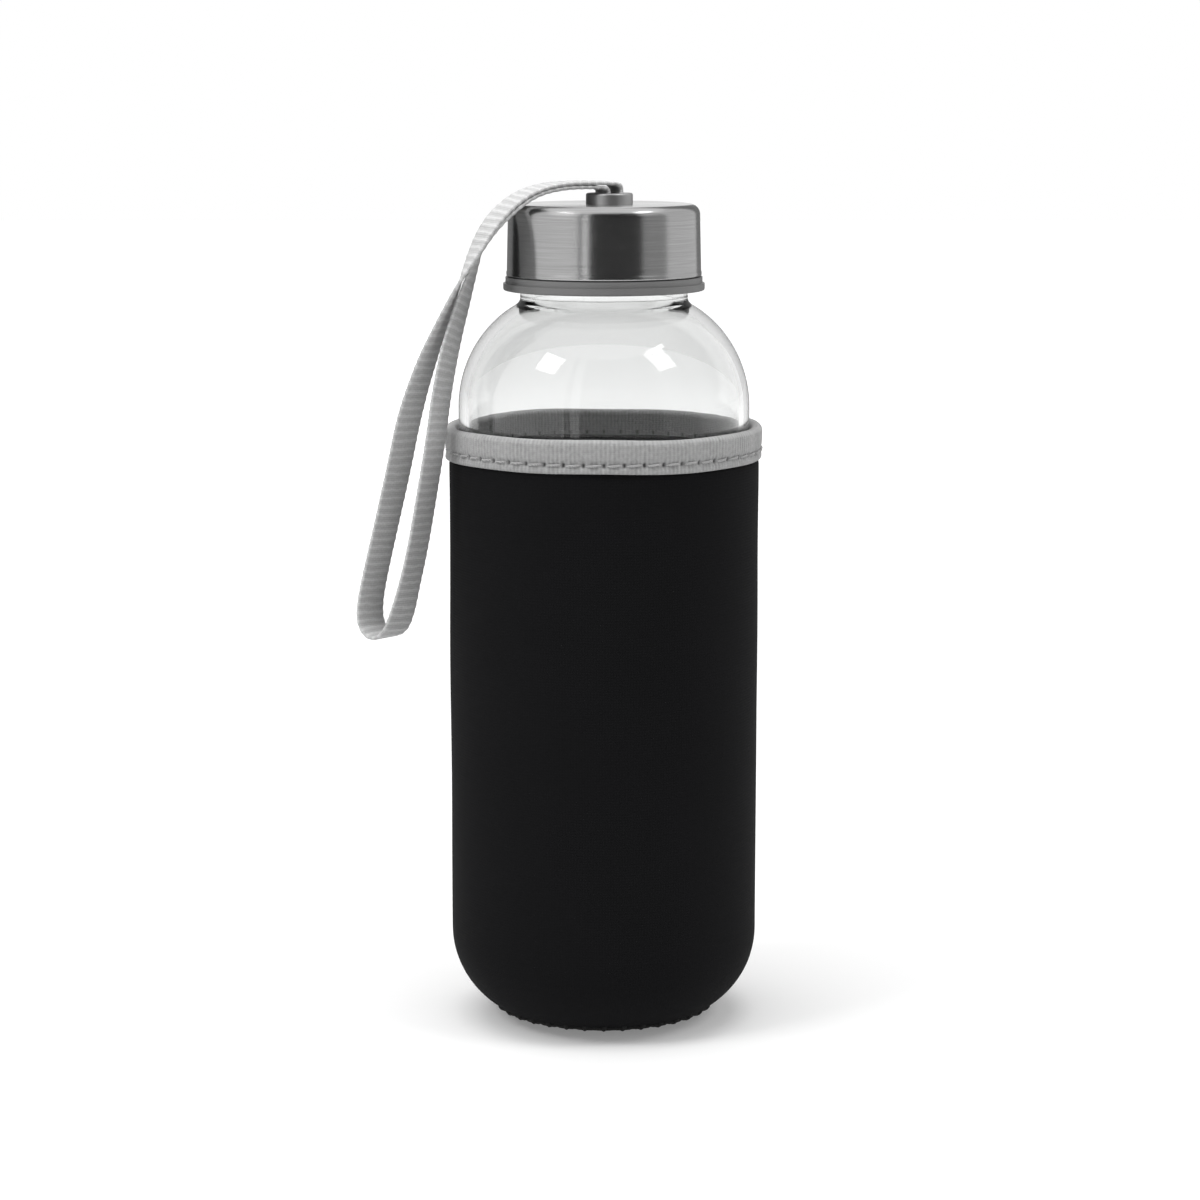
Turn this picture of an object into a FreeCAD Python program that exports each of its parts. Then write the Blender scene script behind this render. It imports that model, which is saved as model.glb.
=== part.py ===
"""Glass water bottle with a screw cap, a wrist strap and a fabric sleeve.

The origin is the middle of the flat base of the sleeve, +Z is up and the cap's strap hangs
towards -X. Every driving size is a cell of the sheet "dims", in millimetres or degrees, and the
sub-parts are bound to those cells by expressions.
"""
import FreeCAD, Part
import math
import os
import re

import Sketcher

DRIVING_SIZES = [
    # glass bottle
    ("bottle_radius", 32.5, "outside radius of the glass"),
    ("glass_wall", 2.2, "thickness of the glass wall"),
    ("glass_floor", 4.0, "thickness of the glass floor"),
    ("punt_radius", 12.0, "radius of the hollow under the floor"),
    ("punt_depth", 1.2, "depth of the hollow under the floor"),
    ("shoulder_height", 139.5, "where the straight wall turns into the shoulder"),
    ("shoulder_radius", 26.4, "radius of the shoulder's curve"),
    ("neck_step", 1.3, "how far the neck stands out below the threaded finish"),
    ("neck_blend", 2.0, "radius where the shoulder meets the neck"),
    ("neck_bead", 0.35, "how far the bead stands out of the neck"),
    ("neck_length", 2.08, "straight part of the neck between the blend and the finish"),
    ("finish_wall", 1.9, "thickness of the glass between the bore and the foot of the thread"),
    ("finish_length", 14.2, "height of the threaded finish, up to the rim"),
    ("rim_round", 0.8, "radius on the edges of the rim"),
    # thread
    ("thread_root", 17.3, "radius of the finish between the threads"),
    ("thread_depth", 1.0, "height of a thread"),
    ("thread_pitch", 4.2, "rise in one turn"),
    ("thread_turns", 1.1, "turns of each thread"),
    ("thread_foot", 2.0, "thread's width at its root"),
    ("thread_crest", 1.2, "thread's width at its crest"),
    ("thread_rise", 5.4, "height of the start of the glass thread above the foot of the finish"),
    ("thread_gap", 0.4, "clearance between a crest and the root that faces it"),
    ("thread_lap", 1.25, "turns that the cap makes before it comes free"),
    # cap
    ("liner_wall", 1.9, "thickness of the liner's skirt"),
    ("shell_draft", 0.4, "how much wider the steel shell is at its hem than at its top"),
    ("cap_corner", 2.3, "radius round the top of the steel shell"),
    ("shell_wall", 0.5, "thickness of the steel"),
    ("hem_width", 0.9, "thickness of the rolled hem"),
    ("hem_height", 1.2, "height of the rolled hem"),
    ("glue_gap", 0.1, "bond between the shell, the liner and the seal"),
    ("liner_roof", 2.2, "thickness of the liner's roof"),
    ("liner_round", 2.0, "radius round the top of the liner"),
    ("liner_side_gap", 0.2, "room between the liner's skirt and the steel"),
    ("flange_width", 0.7, "how far the liner's lower flange stands out past the hem"),
    ("flange_height", 1.6, "height of the lower flange"),
    ("flange_drop", 0.6, "how far the flange reaches below the glass finish"),
    ("collar_width", 0.2, "how far the step above the flange stands out past the hem"),
    ("collar_height", 1.4, "height of the step above the flange"),
    ("flange_round", 0.4, "radius under the flange"),
    ("seal_height", 1.2, "thickness of the sealing ring"),
    ("seal_width", 5.2, "width of the sealing ring"),
    ("seal_side_gap", 0.5, "room round the sealing ring"),
    ("rim_gap", 0.1, "room between the rim and the sealing ring"),
    # strap and its anchor
    ("anchor_radius", 5.2, "radius of the strap's anchor"),
    ("anchor_height", 2.4, "height of the strap's anchor"),
    ("anchor_round", 0.5, "radius round the top of the anchor"),
    ("anchor_offset", 1.2, "how far the anchor sits beside the cap's axis"),
    ("anchor_turn", 20.0, "angle of the strap's slots about +Z"),
    ("slot_offset", 1.5, "distance of each slot from the middle of the anchor"),
    ("slot_gap", 0.2, "room round the strap in a slot, on each side"),
    ("bar_relief", 1.1, "height of the channel under the bar"),
    ("strap_width", 8.0, "width of the webbing"),
    ("strap_thickness", 0.8, "thickness of the webbing"),
    ("strap_tube", 2.0, "diameter of the plain tube that stands for the loop"),
    # sleeve
    ("fit_gap", 0.3, "room between the glass and the sleeve"),
    ("sleeve_wall", 1.9, "thickness of the foam fabric"),
    ("sleeve_corner", 20.0, "outside radius of the sleeve's bottom corner"),
    ("sleeve_height", 134.0, "top edge of the foam fabric"),
    ("seam_radius", 24.5, "radius of the seam round the base"),
    ("seam_thread", 0.9, "radius of the overlocked seam"),
    ("seat_gap", 0.1, "room round a seam's thread in the groove that it lies in"),
    ("binding_depth", 5.8, "how far the binding reaches below the fabric's top edge"),
    ("binding_fold", 1.5, "how far the binding stands above the fabric's top edge"),
    ("binding_outer", 1.0, "thickness of the binding outside the fabric"),
    ("binding_pinch", 0.35, "how far each side of the fabric is pressed in by the binding"),
    ("binding_inner", 0.7, "thickness of the binding inside the fabric"),
    ("binding_hem", 0.8, "how much higher the binding ends inside than outside"),
    ("tape_gap", 0.1, "room between the binding and the fabric it folds over"),
    ("glass_gap", 0.35, "room between the glass and the binding"),
    ("stitch_rise", 2.0, "height of the stitching above the binding's lower edge"),
    ("stitch_thread", 0.25, "radius of the stitching thread"),
]

# Points of the strap's route in millimetres, counted from the middle of the top of its anchor. It
# rises from one slot, folds over towards -X, hangs down beside the bottle, turns and comes back up
# to the other slot.
STRAP_ROUTE = [
    (1.8, -0.7, 0.0),
    (1.8, -0.7, 1.3),
    (0.8, -1.1, 2.2),
    (-1.5, -2.2, 2.5),
    (-5.8, -4.2, 3.0),
    (-11.6, -6.6, 2.7),
    (-18.0, -9.4, 0.8),
    (-23.6, -11.6, -3.2),
    (-27.8, -13.2, -9.4),
    (-31.4, -14.0, -16.4),
    (-35.4, -13.8, -25.6),
    (-39.6, -12.6, -35.8),
    (-43.6, -10.6, -47.4),
    (-46.6, -9.2, -60.2),
    (-50.0, -8.2, -73.8),
    (-52.4, -7.6, -84.8),
    (-53.6, -7.4, -91.2),
    (-53.4, -8.0, -95.4),
    (-51.0, -10.2, -98.0),
    (-47.8, -12.4, -96.8),
    (-46.0, -13.4, -92.4),
    (-44.4, -13.8, -86.2),
    (-42.2, -14.2, -77.8),
    (-40.6, -14.6, -66.6),
    (-38.6, -14.8, -53.8),
    (-37.2, -14.2, -43.4),
    (-35.0, -12.4, -32.8),
    (-32.2, -10.6, -23.4),
    (-30.0, -9.8, -15.6),
    (-27.4, -9.0, -8.6),
    (-23.6, -8.0, -2.8),
    (-17.8, -6.2, 1.2),
    (-11.2, -3.6, 2.4),
    (-6.0, -1.2, 2.5),
    (-2.9, 0.4, 2.2),
    (-1.9, 0.8, 1.3),
    (-1.9, 0.8, 0.0),
]
ROUTE_SHARE = 0.45  # share of the shorter run that an arc may use at each point

# Sizes that several pieces take from the driving ones.
BOTTLE_FOOT = "(sleeve_wall + fit_gap)"
CORNER_AXIS = "(bottle_radius + fit_gap + sleeve_wall - sleeve_corner)"
BOTTLE_CORNER = "(sleeve_corner - sleeve_wall - fit_gap)"
SHOULDER_AXIS = "(bottle_radius - shoulder_radius)"
SLEEVE_INNER = "(bottle_radius + fit_gap)"
SLEEVE_OUTER = "(bottle_radius + fit_gap + sleeve_wall)"
FABRIC_INNER = "(bottle_radius + glass_gap + binding_inner + tape_gap)"
FABRIC_OUTER = "(" + SLEEVE_OUTER + " - binding_pinch)"
BINDING_BORE = "(bottle_radius + glass_gap)"
BINDING_RADIUS = "(" + FABRIC_OUTER + " + tape_gap + binding_outer)"
NECK_RADIUS = "(thread_root + neck_step)"
MOUTH_RADIUS = "(thread_root - finish_wall)"
BLEND_REACH = "(shoulder_radius + neck_blend)"
BLEND_AXIS = "(" + NECK_RADIUS + " + neck_blend - " + SHOULDER_AXIS + ")"
BLEND_RISE = "sqrt(" + BLEND_REACH + "^2 - " + BLEND_AXIS + "^2)"
NECK_FOOT = "(shoulder_height + " + BLEND_RISE + ")"
FINISH_FOOT = "(" + NECK_FOOT + " + neck_length)"
THREAD_START = "(" + FINISH_FOOT + " + thread_rise)"
RIM = "(" + FINISH_FOOT + " + finish_length)"
SEAL_BOTTOM = "(" + RIM + " + rim_gap)"
LINER_UNDER = "(" + SEAL_BOTTOM + " + seal_height + glue_gap)"
LINER_TOP = "(" + LINER_UNDER + " + liner_roof)"
SHELL_UNDER = "(" + LINER_TOP + " + glue_gap)"
CAP_TOP = "(" + SHELL_UNDER + " + shell_wall)"
LINER_BORE = "(thread_root + thread_depth + thread_gap)"
LINER_SKIRT = "(" + LINER_BORE + " + liner_wall)"
CAP_TOP_RADIUS = "(" + LINER_SKIRT + " + liner_side_gap + shell_wall)"
CAP_FOOT_RADIUS = "(" + CAP_TOP_RADIUS + " + shell_draft)"
SEAL_OUTER = "(" + LINER_BORE + " - seal_side_gap)"
FLANGE_FOOT = "(" + FINISH_FOOT + " - flange_drop)"
COLLAR_TOP = "(" + FLANGE_FOOT + " + flange_height + collar_height)"
HEM_FOOT = "(" + COLLAR_TOP + " + glue_gap)"
BINDING_BOTTOM = "(sleeve_height - binding_depth)"
BINDING_TOP = "(sleeve_height + binding_fold)"
STITCH_HEIGHT = "(" + BINDING_BOTTOM + " + stitch_rise)"
SEAM_LEAN = "((seam_radius - " + CORNER_AXIS + ") / sleeve_corner)"
SEAM_DROP = "sqrt(1 - " + SEAM_LEAN + "^2)"
SEAM_HEIGHT = "(sleeve_corner - sleeve_corner * " + SEAM_DROP + ")"


def fill_sheet(document):
    """Write every driving size into the sheet, with its alias and what it means."""
    sheet = document.addObject("Spreadsheet::Sheet", "dims")
    for row, (alias, size, meaning) in enumerate(DRIVING_SIZES, start=1):
        sheet.set(f"A{row}", meaning)
        sheet.set(f"B{row}", str(size))
        sheet.setAlias(f"B{row}", alias)
    document.recompute()
    return sheet


ALIASES = {alias for alias, size, meaning in DRIVING_SIZES}


def in_sheet(text):
    """Turn the aliases in an expression into references to the sheet."""
    return re.sub(r"[a-z_]+", lambda word: "dims." + word[0] if word[0] in ALIASES else word[0], text)


def size_of(document, text):
    """The present value of an expression."""
    return float(document.dims.evalExpression(in_sheet(text)))


def bind(owner, **expressions):
    """Bind properties to expressions; a double underscore in a name stands for a dot."""
    for name, text in expressions.items():
        owner.setExpression(name.replace("__", "."), in_sheet(text))


def origin_item(body, role):
    """The plane or axis of a body's origin with the given role."""
    return next(item for item in body.Origin.OriginFeatures if item.Role == role)


def new_sketch(body, name, plane):
    """A sketch on one of the body's origin planes."""
    sketch = body.newObject("Sketcher::SketchObject", name)
    sketch.AttachmentSupport = [(origin_item(body, plane), "")]
    sketch.MapMode = "FlatFace"
    return sketch


def arc_between(start, end, radius, side):
    """The short arc from start to end that bends to the left or to the right."""
    middle = (start + end) * 0.5
    chord = end - start
    reach = math.sqrt(max(radius ** 2 - (chord.Length / 2) ** 2, 0.0))
    left = FreeCAD.Vector(-chord.y, chord.x, 0).normalize()
    centre = middle + left * (reach if side == "left" else -reach)
    first, last = (start, end) if side == "left" else (end, start)
    angles = [math.atan2(corner.y - centre.y, corner.x - centre.x) for corner in (first, last)]
    circle = Part.Circle(centre, FreeCAD.Vector(0, 0, 1), radius)
    return Part.ArcOfCircle(circle, angles[0], angles[1])


def constrain_outline(sketch, name, vertices):
    """Draw a closed outline whose vertices and arcs follow the sheet.

    A vertex is (across, up) or (across, up, radius, side), where the arc of that radius leads to
    the next vertex and bends to that side.
    """
    document = sketch.Document
    places = [FreeCAD.Vector(size_of(document, v[0]), size_of(document, v[1]), 0) for v in vertices]
    starts = []
    for index, vertex in enumerate(vertices):
        start, end = places[index], places[(index + 1) % len(places)]
        if len(vertex) == 2:
            edge = sketch.addGeometry(Part.LineSegment(start, end), False)
            starts.append((edge, 1, 2))
            continue
        radius = size_of(document, vertex[2])
        edge = sketch.addGeometry(arc_between(start, end, radius, vertex[3]), False)
        starts.append((edge, 1, 2) if vertex[3] == "left" else (edge, 2, 1))
        held = sketch.addConstraint(Sketcher.Constraint("Radius", edge, radius))
        sketch.setExpression(f"Constraints[{held}]", in_sheet(vertex[2]))
    for index, (edge, start_end, far_end) in enumerate(starts):
        following, following_start, following_far = starts[(index + 1) % len(starts)]
        sketch.addConstraint(Sketcher.Constraint("Coincident", edge, far_end, following, following_start))
        for kind, axis, text, place in (
            ("DistanceX", -2, vertices[index][0], places[index].x),
            ("DistanceY", -1, vertices[index][1], places[index].y),
        ):
            if text == "0":
                sketch.addConstraint(Sketcher.Constraint("PointOnObject", edge, start_end, axis))
                continue
            held = sketch.addConstraint(Sketcher.Constraint(kind, -1, 1, edge, start_end, place))
            sketch.setExpression(f"Constraints[{held}]", in_sheet(text))
    sketch.Label = name


def turned_body(document, label, vertices):
    """A body made by turning an outline, given as radius and height, about +Z."""
    body = document.addObject("PartDesign::Body", label)
    sketch = new_sketch(body, label + "_outline", "XZ_Plane")
    constrain_outline(sketch, label + "_outline", vertices)
    turned = body.newObject("PartDesign::Revolution", label + "_turned")
    turned.Profile = sketch
    turned.ReferenceAxis = (sketch, ["V_Axis"])
    turned.Angle = 360
    body.Tip = turned
    document.recompute()
    return body


def round_groove(body, name, radius, height, half_width):
    """Cut a groove of round section, whose middle is at a radius and height, out of a body."""
    document = body.Document
    before = body.Shape.Volume
    sketch = new_sketch(body, name, "XZ_Plane")
    place = FreeCAD.Vector(size_of(document, radius), size_of(document, height), 0)
    round_edge = Part.Circle(place, FreeCAD.Vector(0, 0, 1), size_of(document, half_width))
    circle = sketch.addGeometry(round_edge, False)
    for kind, text, value in (("DistanceX", radius, place.x), ("DistanceY", height, place.y)):
        held = sketch.addConstraint(Sketcher.Constraint(kind, -1, 1, circle, 3, value))
        sketch.setExpression(f"Constraints[{held}]", in_sheet(text))
    held = sketch.addConstraint(Sketcher.Constraint("Radius", circle, size_of(document, half_width)))
    sketch.setExpression(f"Constraints[{held}]", in_sheet(half_width))
    groove = body.newObject("PartDesign::Groove", name + "_cut")
    groove.Profile = sketch
    groove.ReferenceAxis = (sketch, ["V_Axis"])
    groove.Angle = 360
    body.Tip = groove
    document.recompute()
    if body.Shape.Volume >= before:
        raise RuntimeError(f"{name} cut nothing")


def add_thread(body, name, foot, crest, height):
    """Add a right-hand thread whose section runs from its foot radius to its crest radius."""
    sketch = new_sketch(body, name, "XZ_Plane")
    inwards = size_of(body.Document, crest) < size_of(body.Document, foot)
    section = [
        (foot, f"{height} - thread_foot / 2"),
        (crest, f"{height} - thread_crest / 2"),
        (crest, f"{height} + thread_crest / 2"),
        (foot, f"{height} + thread_foot / 2"),
    ]
    constrain_outline(sketch, name, section[::-1] if inwards else section)
    thread = body.newObject("PartDesign::AdditiveHelix", name + "_sweep")
    thread.Profile = sketch
    thread.ReferenceAxis = (sketch, ["V_Axis"])
    thread.Mode = "pitch-turns-angle"
    bind(thread, Pitch="thread_pitch", Turns="thread_turns")
    body.Tip = thread
    body.Document.recompute()


def make_bottle(document):
    """Glass bottle: footed floor, straight wall, round shoulder, beaded neck and threaded finish."""
    inner_shoulder = "(shoulder_radius - glass_wall)"
    bore_axis = "(" + MOUTH_RADIUS + " + neck_blend - " + SHOULDER_AXIS + ")"
    bore_reach = "(" + inner_shoulder + " + neck_blend)"
    bore_rise = "sqrt(" + bore_reach + "^2 - " + bore_axis + "^2)"
    inner_wall = "(bottle_radius - glass_wall)"
    inner_corner = "(" + BOTTLE_CORNER + " - glass_floor)"
    floor_top = "(" + BOTTLE_FOOT + " + glass_floor)"
    outline = [
        ("0", BOTTLE_FOOT + " + punt_depth",
         "(punt_radius^2 + punt_depth^2) / (2 * punt_depth)", "right"),
        ("punt_radius", BOTTLE_FOOT),
        (CORNER_AXIS, BOTTLE_FOOT, BOTTLE_CORNER, "left"),
        ("bottle_radius", "sleeve_corner"),
        ("bottle_radius", "shoulder_height", "shoulder_radius", "left"),
        (SHOULDER_AXIS + " + shoulder_radius / " + BLEND_REACH + " * " + BLEND_AXIS,
         "shoulder_height + shoulder_radius / " + BLEND_REACH + " * " + BLEND_RISE,
         "neck_blend", "right"),
        (NECK_RADIUS, NECK_FOOT),
        (NECK_RADIUS + " + neck_bead", NECK_FOOT + " + neck_bead / 2"),
        (NECK_RADIUS + " + neck_bead", NECK_FOOT + " + neck_bead * 1.5"),
        (NECK_RADIUS, NECK_FOOT + " + neck_bead * 2"),
        (NECK_RADIUS, FINISH_FOOT),
        ("thread_root", FINISH_FOOT + " + neck_step"),
        ("thread_root", RIM + " - rim_round", "rim_round", "left"),
        ("thread_root - rim_round", RIM),
        (MOUTH_RADIUS + " + rim_round", RIM, "rim_round", "left"),
        (MOUTH_RADIUS, RIM + " - rim_round"),
        (MOUTH_RADIUS, "shoulder_height + " + bore_rise, "neck_blend", "left"),
        (SHOULDER_AXIS + " + " + inner_shoulder + " / " + bore_reach + " * " + bore_axis,
         "shoulder_height + " + inner_shoulder + " / " + bore_reach + " * " + bore_rise,
         inner_shoulder, "right"),
        (inner_wall, "shoulder_height"),
        (inner_wall, BOTTLE_FOOT + " + " + BOTTLE_CORNER, inner_corner, "right"),
        (inner_wall + " - " + inner_corner, floor_top),
        ("0", floor_top),
    ]
    body = turned_body(document, "glass_bottle", outline)
    add_thread(body, "glass_thread", "thread_root - thread_gap", "thread_root + thread_depth",
               THREAD_START)
    return body


def make_shell(document):
    """Drawn steel shell of the cap, with a rounded top edge and a rolled hem."""
    inner_corner = "(cap_corner - shell_wall)"
    hem_round = "(hem_width / 2)"
    hem_top = "(" + HEM_FOOT + " + hem_height)"
    return turned_body(document, "cap_shell", [
        ("0", SHELL_UNDER),
        (CAP_TOP_RADIUS + " - cap_corner", SHELL_UNDER, inner_corner, "right"),
        (CAP_TOP_RADIUS + " - shell_wall", CAP_TOP + " - cap_corner"),
        (CAP_FOOT_RADIUS + " - shell_wall", hem_top + " + " + hem_round),
        (CAP_FOOT_RADIUS + " - hem_width", hem_top),
        (CAP_FOOT_RADIUS + " - hem_width", HEM_FOOT + " + " + hem_round, hem_round, "left"),
        (CAP_FOOT_RADIUS + " - " + hem_round, HEM_FOOT, hem_round, "left"),
        (CAP_FOOT_RADIUS, HEM_FOOT + " + " + hem_round),
        (CAP_TOP_RADIUS, CAP_TOP + " - cap_corner", "cap_corner", "left"),
        (CAP_TOP_RADIUS + " - cap_corner", CAP_TOP),
        ("0", CAP_TOP),
    ])


def make_liner(document):
    """Moulded liner inside the shell, with a stepped flange and the thread that grips the glass."""
    lead_in = "(" + NECK_RADIUS + " + thread_gap)"
    flange = "(" + CAP_FOOT_RADIUS + " + flange_width)"
    collar = "(" + CAP_FOOT_RADIUS + " + collar_width)"
    flange_top = "(" + FLANGE_FOOT + " + flange_height)"
    body = turned_body(document, "cap_liner", [
        (lead_in, FLANGE_FOOT),
        (flange + " - flange_round", FLANGE_FOOT, "flange_round", "left"),
        (flange, FLANGE_FOOT + " + flange_round"),
        (flange, flange_top),
        (collar, flange_top),
        (collar, COLLAR_TOP),
        (LINER_SKIRT, COLLAR_TOP),
        (LINER_SKIRT, LINER_TOP + " - liner_round", "liner_round", "left"),
        (LINER_SKIRT + " - liner_round", LINER_TOP),
        ("0", LINER_TOP),
        ("0", LINER_UNDER),
        (LINER_BORE, LINER_UNDER),
        (LINER_BORE, FINISH_FOOT + " + thread_gap + " + lead_in + " - " + LINER_BORE),
        (lead_in, FINISH_FOOT + " + thread_gap"),
    ])
    free_height = "(" + THREAD_START + " + (thread_turns - thread_lap) * thread_pitch)"
    add_thread(body, "liner_thread", LINER_BORE + " + thread_gap", LINER_BORE + " - thread_depth",
               free_height)
    bind(body, Placement__Rotation__Angle="(0.5 + thread_turns - thread_lap) * 360")
    return body


def make_seal(document):
    """Flat sealing ring between the rim and the liner's roof."""
    return turned_body(document, "cap_seal", [
        (SEAL_OUTER + " - seal_width", SEAL_BOTTOM),
        (SEAL_OUTER, SEAL_BOTTOM),
        (SEAL_OUTER, SEAL_BOTTOM + " + seal_height"),
        (SEAL_OUTER + " - seal_width", SEAL_BOTTOM + " + seal_height"),
    ])


def cut_pocket(body, name, height, outlines):
    """Cut outlines drawn on the body's XY plane upwards through a height."""
    before = body.Shape.Volume
    sketch = new_sketch(body, name, "XY_Plane")
    for outline in outlines:
        constrain_outline(sketch, name, outline)
    pocket = body.newObject("PartDesign::Pocket", name + "_cut")
    pocket.Profile = sketch
    pocket.Reversed = True
    bind(pocket, Length=height)
    body.Tip = pocket
    body.Document.recompute()
    if body.Shape.Volume >= before:
        raise RuntimeError(f"{name} cut nothing")


def rectangle(left, right, near, far):
    """The four vertices of a rectangle."""
    return [(left, near), (right, near), (right, far), (left, far)]


def place_on_cap(piece):
    """Stand a piece on the cap, beside its axis and turned as the strap is."""
    bind(piece, Placement__Base__x="anchor_offset", Placement__Base__z=CAP_TOP,
         Placement__Rotation__Angle="anchor_turn")


def make_anchor(document):
    """Low round anchor on the cap, with two slots and a relieved bar for the strap."""
    body = turned_body(document, "strap_anchor", [
        ("0", "0"),
        ("anchor_radius", "0"),
        ("anchor_radius", "anchor_height - anchor_round", "anchor_round", "left"),
        ("anchor_radius - anchor_round", "anchor_height"),
        ("0", "anchor_height"),
    ])
    half_slot = "(strap_thickness / 2 + slot_gap)"
    inner_edge = "(slot_offset - " + half_slot + ")"
    outer_edge = "(slot_offset + " + half_slot + ")"
    half_length = "(strap_width / 2 + slot_gap / 2)"
    cut_pocket(body, "strap_slots", "anchor_height", [
        rectangle(inner_edge, outer_edge, "-" + half_length, half_length),
        rectangle("-" + outer_edge, "-" + inner_edge, "-" + half_length, half_length),
    ])
    cut_pocket(body, "bar_channel", "bar_relief", [
        rectangle("-" + outer_edge, outer_edge, "-" + half_length, half_length),
    ])
    place_on_cap(body)
    return body


def bound_box(document, name, length, width, height, corner):
    """A box bound to the sheet, with its lowest corner at a place."""
    box = document.addObject("Part::Box", name)
    bind(box, Length=length, Width=width, Height=height,
         Placement__Base__x=corner[0], Placement__Base__y=corner[1], Placement__Base__z=corner[2])
    return box


def make_tuck(document):
    """The part of the strap that runs under the anchor's bar, where its two ends are sewn."""
    reach = "(slot_offset + strap_thickness / 2)"
    opening = "(slot_offset - strap_thickness / 2)"
    whole = bound_box(document, "tuck_whole", "2 * " + reach, "strap_width", "anchor_height",
                      ("-" + reach, "-strap_width / 2", "0"))
    clear = bound_box(document, "tuck_opening", "2 * " + opening, "2 * strap_width", "anchor_height",
                      ("-" + opening, "-strap_width", "strap_thickness"))
    tuck = document.addObject("Part::Cut", "strap_tuck")
    tuck.Base = whole
    tuck.Tool = clear
    place_on_cap(tuck)
    return tuck


def make_sleeve(document):
    """Foam-fabric tube of the sleeve, with its rounded bottom corner and its thinned top edge."""
    step = "(" + BINDING_BOTTOM + " - tape_gap)"
    body = turned_body(document, "sleeve_body", [
        ("seam_radius", SEAM_HEIGHT, "sleeve_corner", "left"),
        (SLEEVE_OUTER, "sleeve_corner"),
        (SLEEVE_OUTER, step),
        (FABRIC_OUTER, step),
        (FABRIC_OUTER, "sleeve_height"),
        (FABRIC_INNER, "sleeve_height"),
        (FABRIC_INNER, step),
        (SLEEVE_INNER, step),
        (SLEEVE_INNER, "sleeve_corner", "sleeve_corner - sleeve_wall", "right"),
        (CORNER_AXIS + " + (sleeve_corner - sleeve_wall) * " + SEAM_LEAN,
         "sleeve_corner - (sleeve_corner - sleeve_wall) * " + SEAM_DROP),
    ])
    round_groove(body, "body_seam_seat", "seam_radius", SEAM_HEIGHT, "seam_thread + seat_gap")
    return body


def make_base(document):
    """Round base panel of the sleeve, flat in the middle and turned up at its edge."""
    body = turned_body(document, "sleeve_base", [
        ("0", "0"),
        (CORNER_AXIS, "0", "sleeve_corner", "left"),
        ("seam_radius", SEAM_HEIGHT),
        (CORNER_AXIS + " + (sleeve_corner - sleeve_wall) * " + SEAM_LEAN,
         "sleeve_corner - (sleeve_corner - sleeve_wall) * " + SEAM_DROP,
         "sleeve_corner - sleeve_wall", "right"),
        (CORNER_AXIS, "sleeve_wall"),
        ("0", "sleeve_wall"),
    ])
    round_groove(body, "base_seam_seat", "seam_radius", SEAM_HEIGHT, "seam_thread + seat_gap")
    return body


def make_binding(document):
    """Ribbed tape folded over the sleeve's top edge."""
    fold = "((" + BINDING_RADIUS + " - " + BINDING_BORE + ") / 2)"
    tape_inner = "(" + FABRIC_INNER + " - tape_gap)"
    tape_outer = "(" + FABRIC_OUTER + " + tape_gap)"
    inner_foot = "(" + BINDING_BOTTOM + " + binding_hem)"
    body = turned_body(document, "sleeve_binding", [
        (tape_outer, BINDING_BOTTOM),
        (BINDING_RADIUS, BINDING_BOTTOM),
        (BINDING_RADIUS, BINDING_TOP + " - " + fold, fold, "left"),
        (BINDING_RADIUS + " - " + fold, BINDING_TOP, fold, "left"),
        (BINDING_BORE, BINDING_TOP + " - " + fold),
        (BINDING_BORE, inner_foot),
        (tape_inner, inner_foot),
        (tape_inner, "sleeve_height + tape_gap"),
        (tape_outer, "sleeve_height + tape_gap"),
    ])
    round_groove(body, "stitch_seat", BINDING_RADIUS, STITCH_HEIGHT, "stitch_thread + seat_gap")
    return body


def make_ring(document, name, radius, height, thread):
    """A ring of round section about +Z."""
    ring = document.addObject("Part::Torus", name)
    bind(ring, Radius1=radius, Radius2=thread, Placement__Base__z=height)
    return ring


def rounded_route(points):
    """Straight runs joined by tangent arcs, and the radius of each arc."""
    places = [FreeCAD.Vector(*point) for point in points]
    edges, radii, start = [], [], places[0]
    for before, corner, after in zip(places, places[1:], places[2:]):
        back, ahead = before - corner, after - corner
        half_turn = (math.pi - back.getAngle(ahead)) / 2
        trim = ROUTE_SHARE * min(back.Length, ahead.Length)
        radii.append(trim / math.tan(half_turn))
        arc_start = corner + back.normalize() * trim
        arc_end = corner + ahead.normalize() * trim
        sideways = (back + ahead).normalize()
        depth = radii[-1] / math.cos(half_turn) - radii[-1]
        edges.append(Part.LineSegment(start, arc_start).toShape())
        edges.append(Part.Arc(arc_start, corner + sideways * depth, arc_end).toShape())
        start = arc_end
    edges.append(Part.LineSegment(start, places[-1]).toShape())
    return Part.Wire(edges), radii


def make_strap(document):
    """The free loop of the wrist strap, as a plain round tube along its route."""
    route, radii = rounded_route(STRAP_ROUTE)
    tube_radius = size_of(document, "strap_tube / 2")
    section = Part.Wire(Part.Circle(FreeCAD.Vector(*STRAP_ROUTE[0]), FreeCAD.Vector(0, 0, 1),
                                    tube_radius).toShape())
    strap = document.addObject("Part::Feature", "wrist_strap")
    strap.Shape = route.makePipeShell([section], True, False)
    place = FreeCAD.Vector(size_of(document, "anchor_offset"), 0,
                           size_of(document, CAP_TOP + " + anchor_height"))
    strap.Placement = FreeCAD.Placement(place, FreeCAD.Rotation())
    expected = math.pi * tube_radius ** 2 * route.Length
    print("strap length", round(route.Length, 1), "volume share", round(strap.Shape.Volume / expected, 4))
    print("strap radii", [round(radius, 1) for radius in radii])
    return strap


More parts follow.
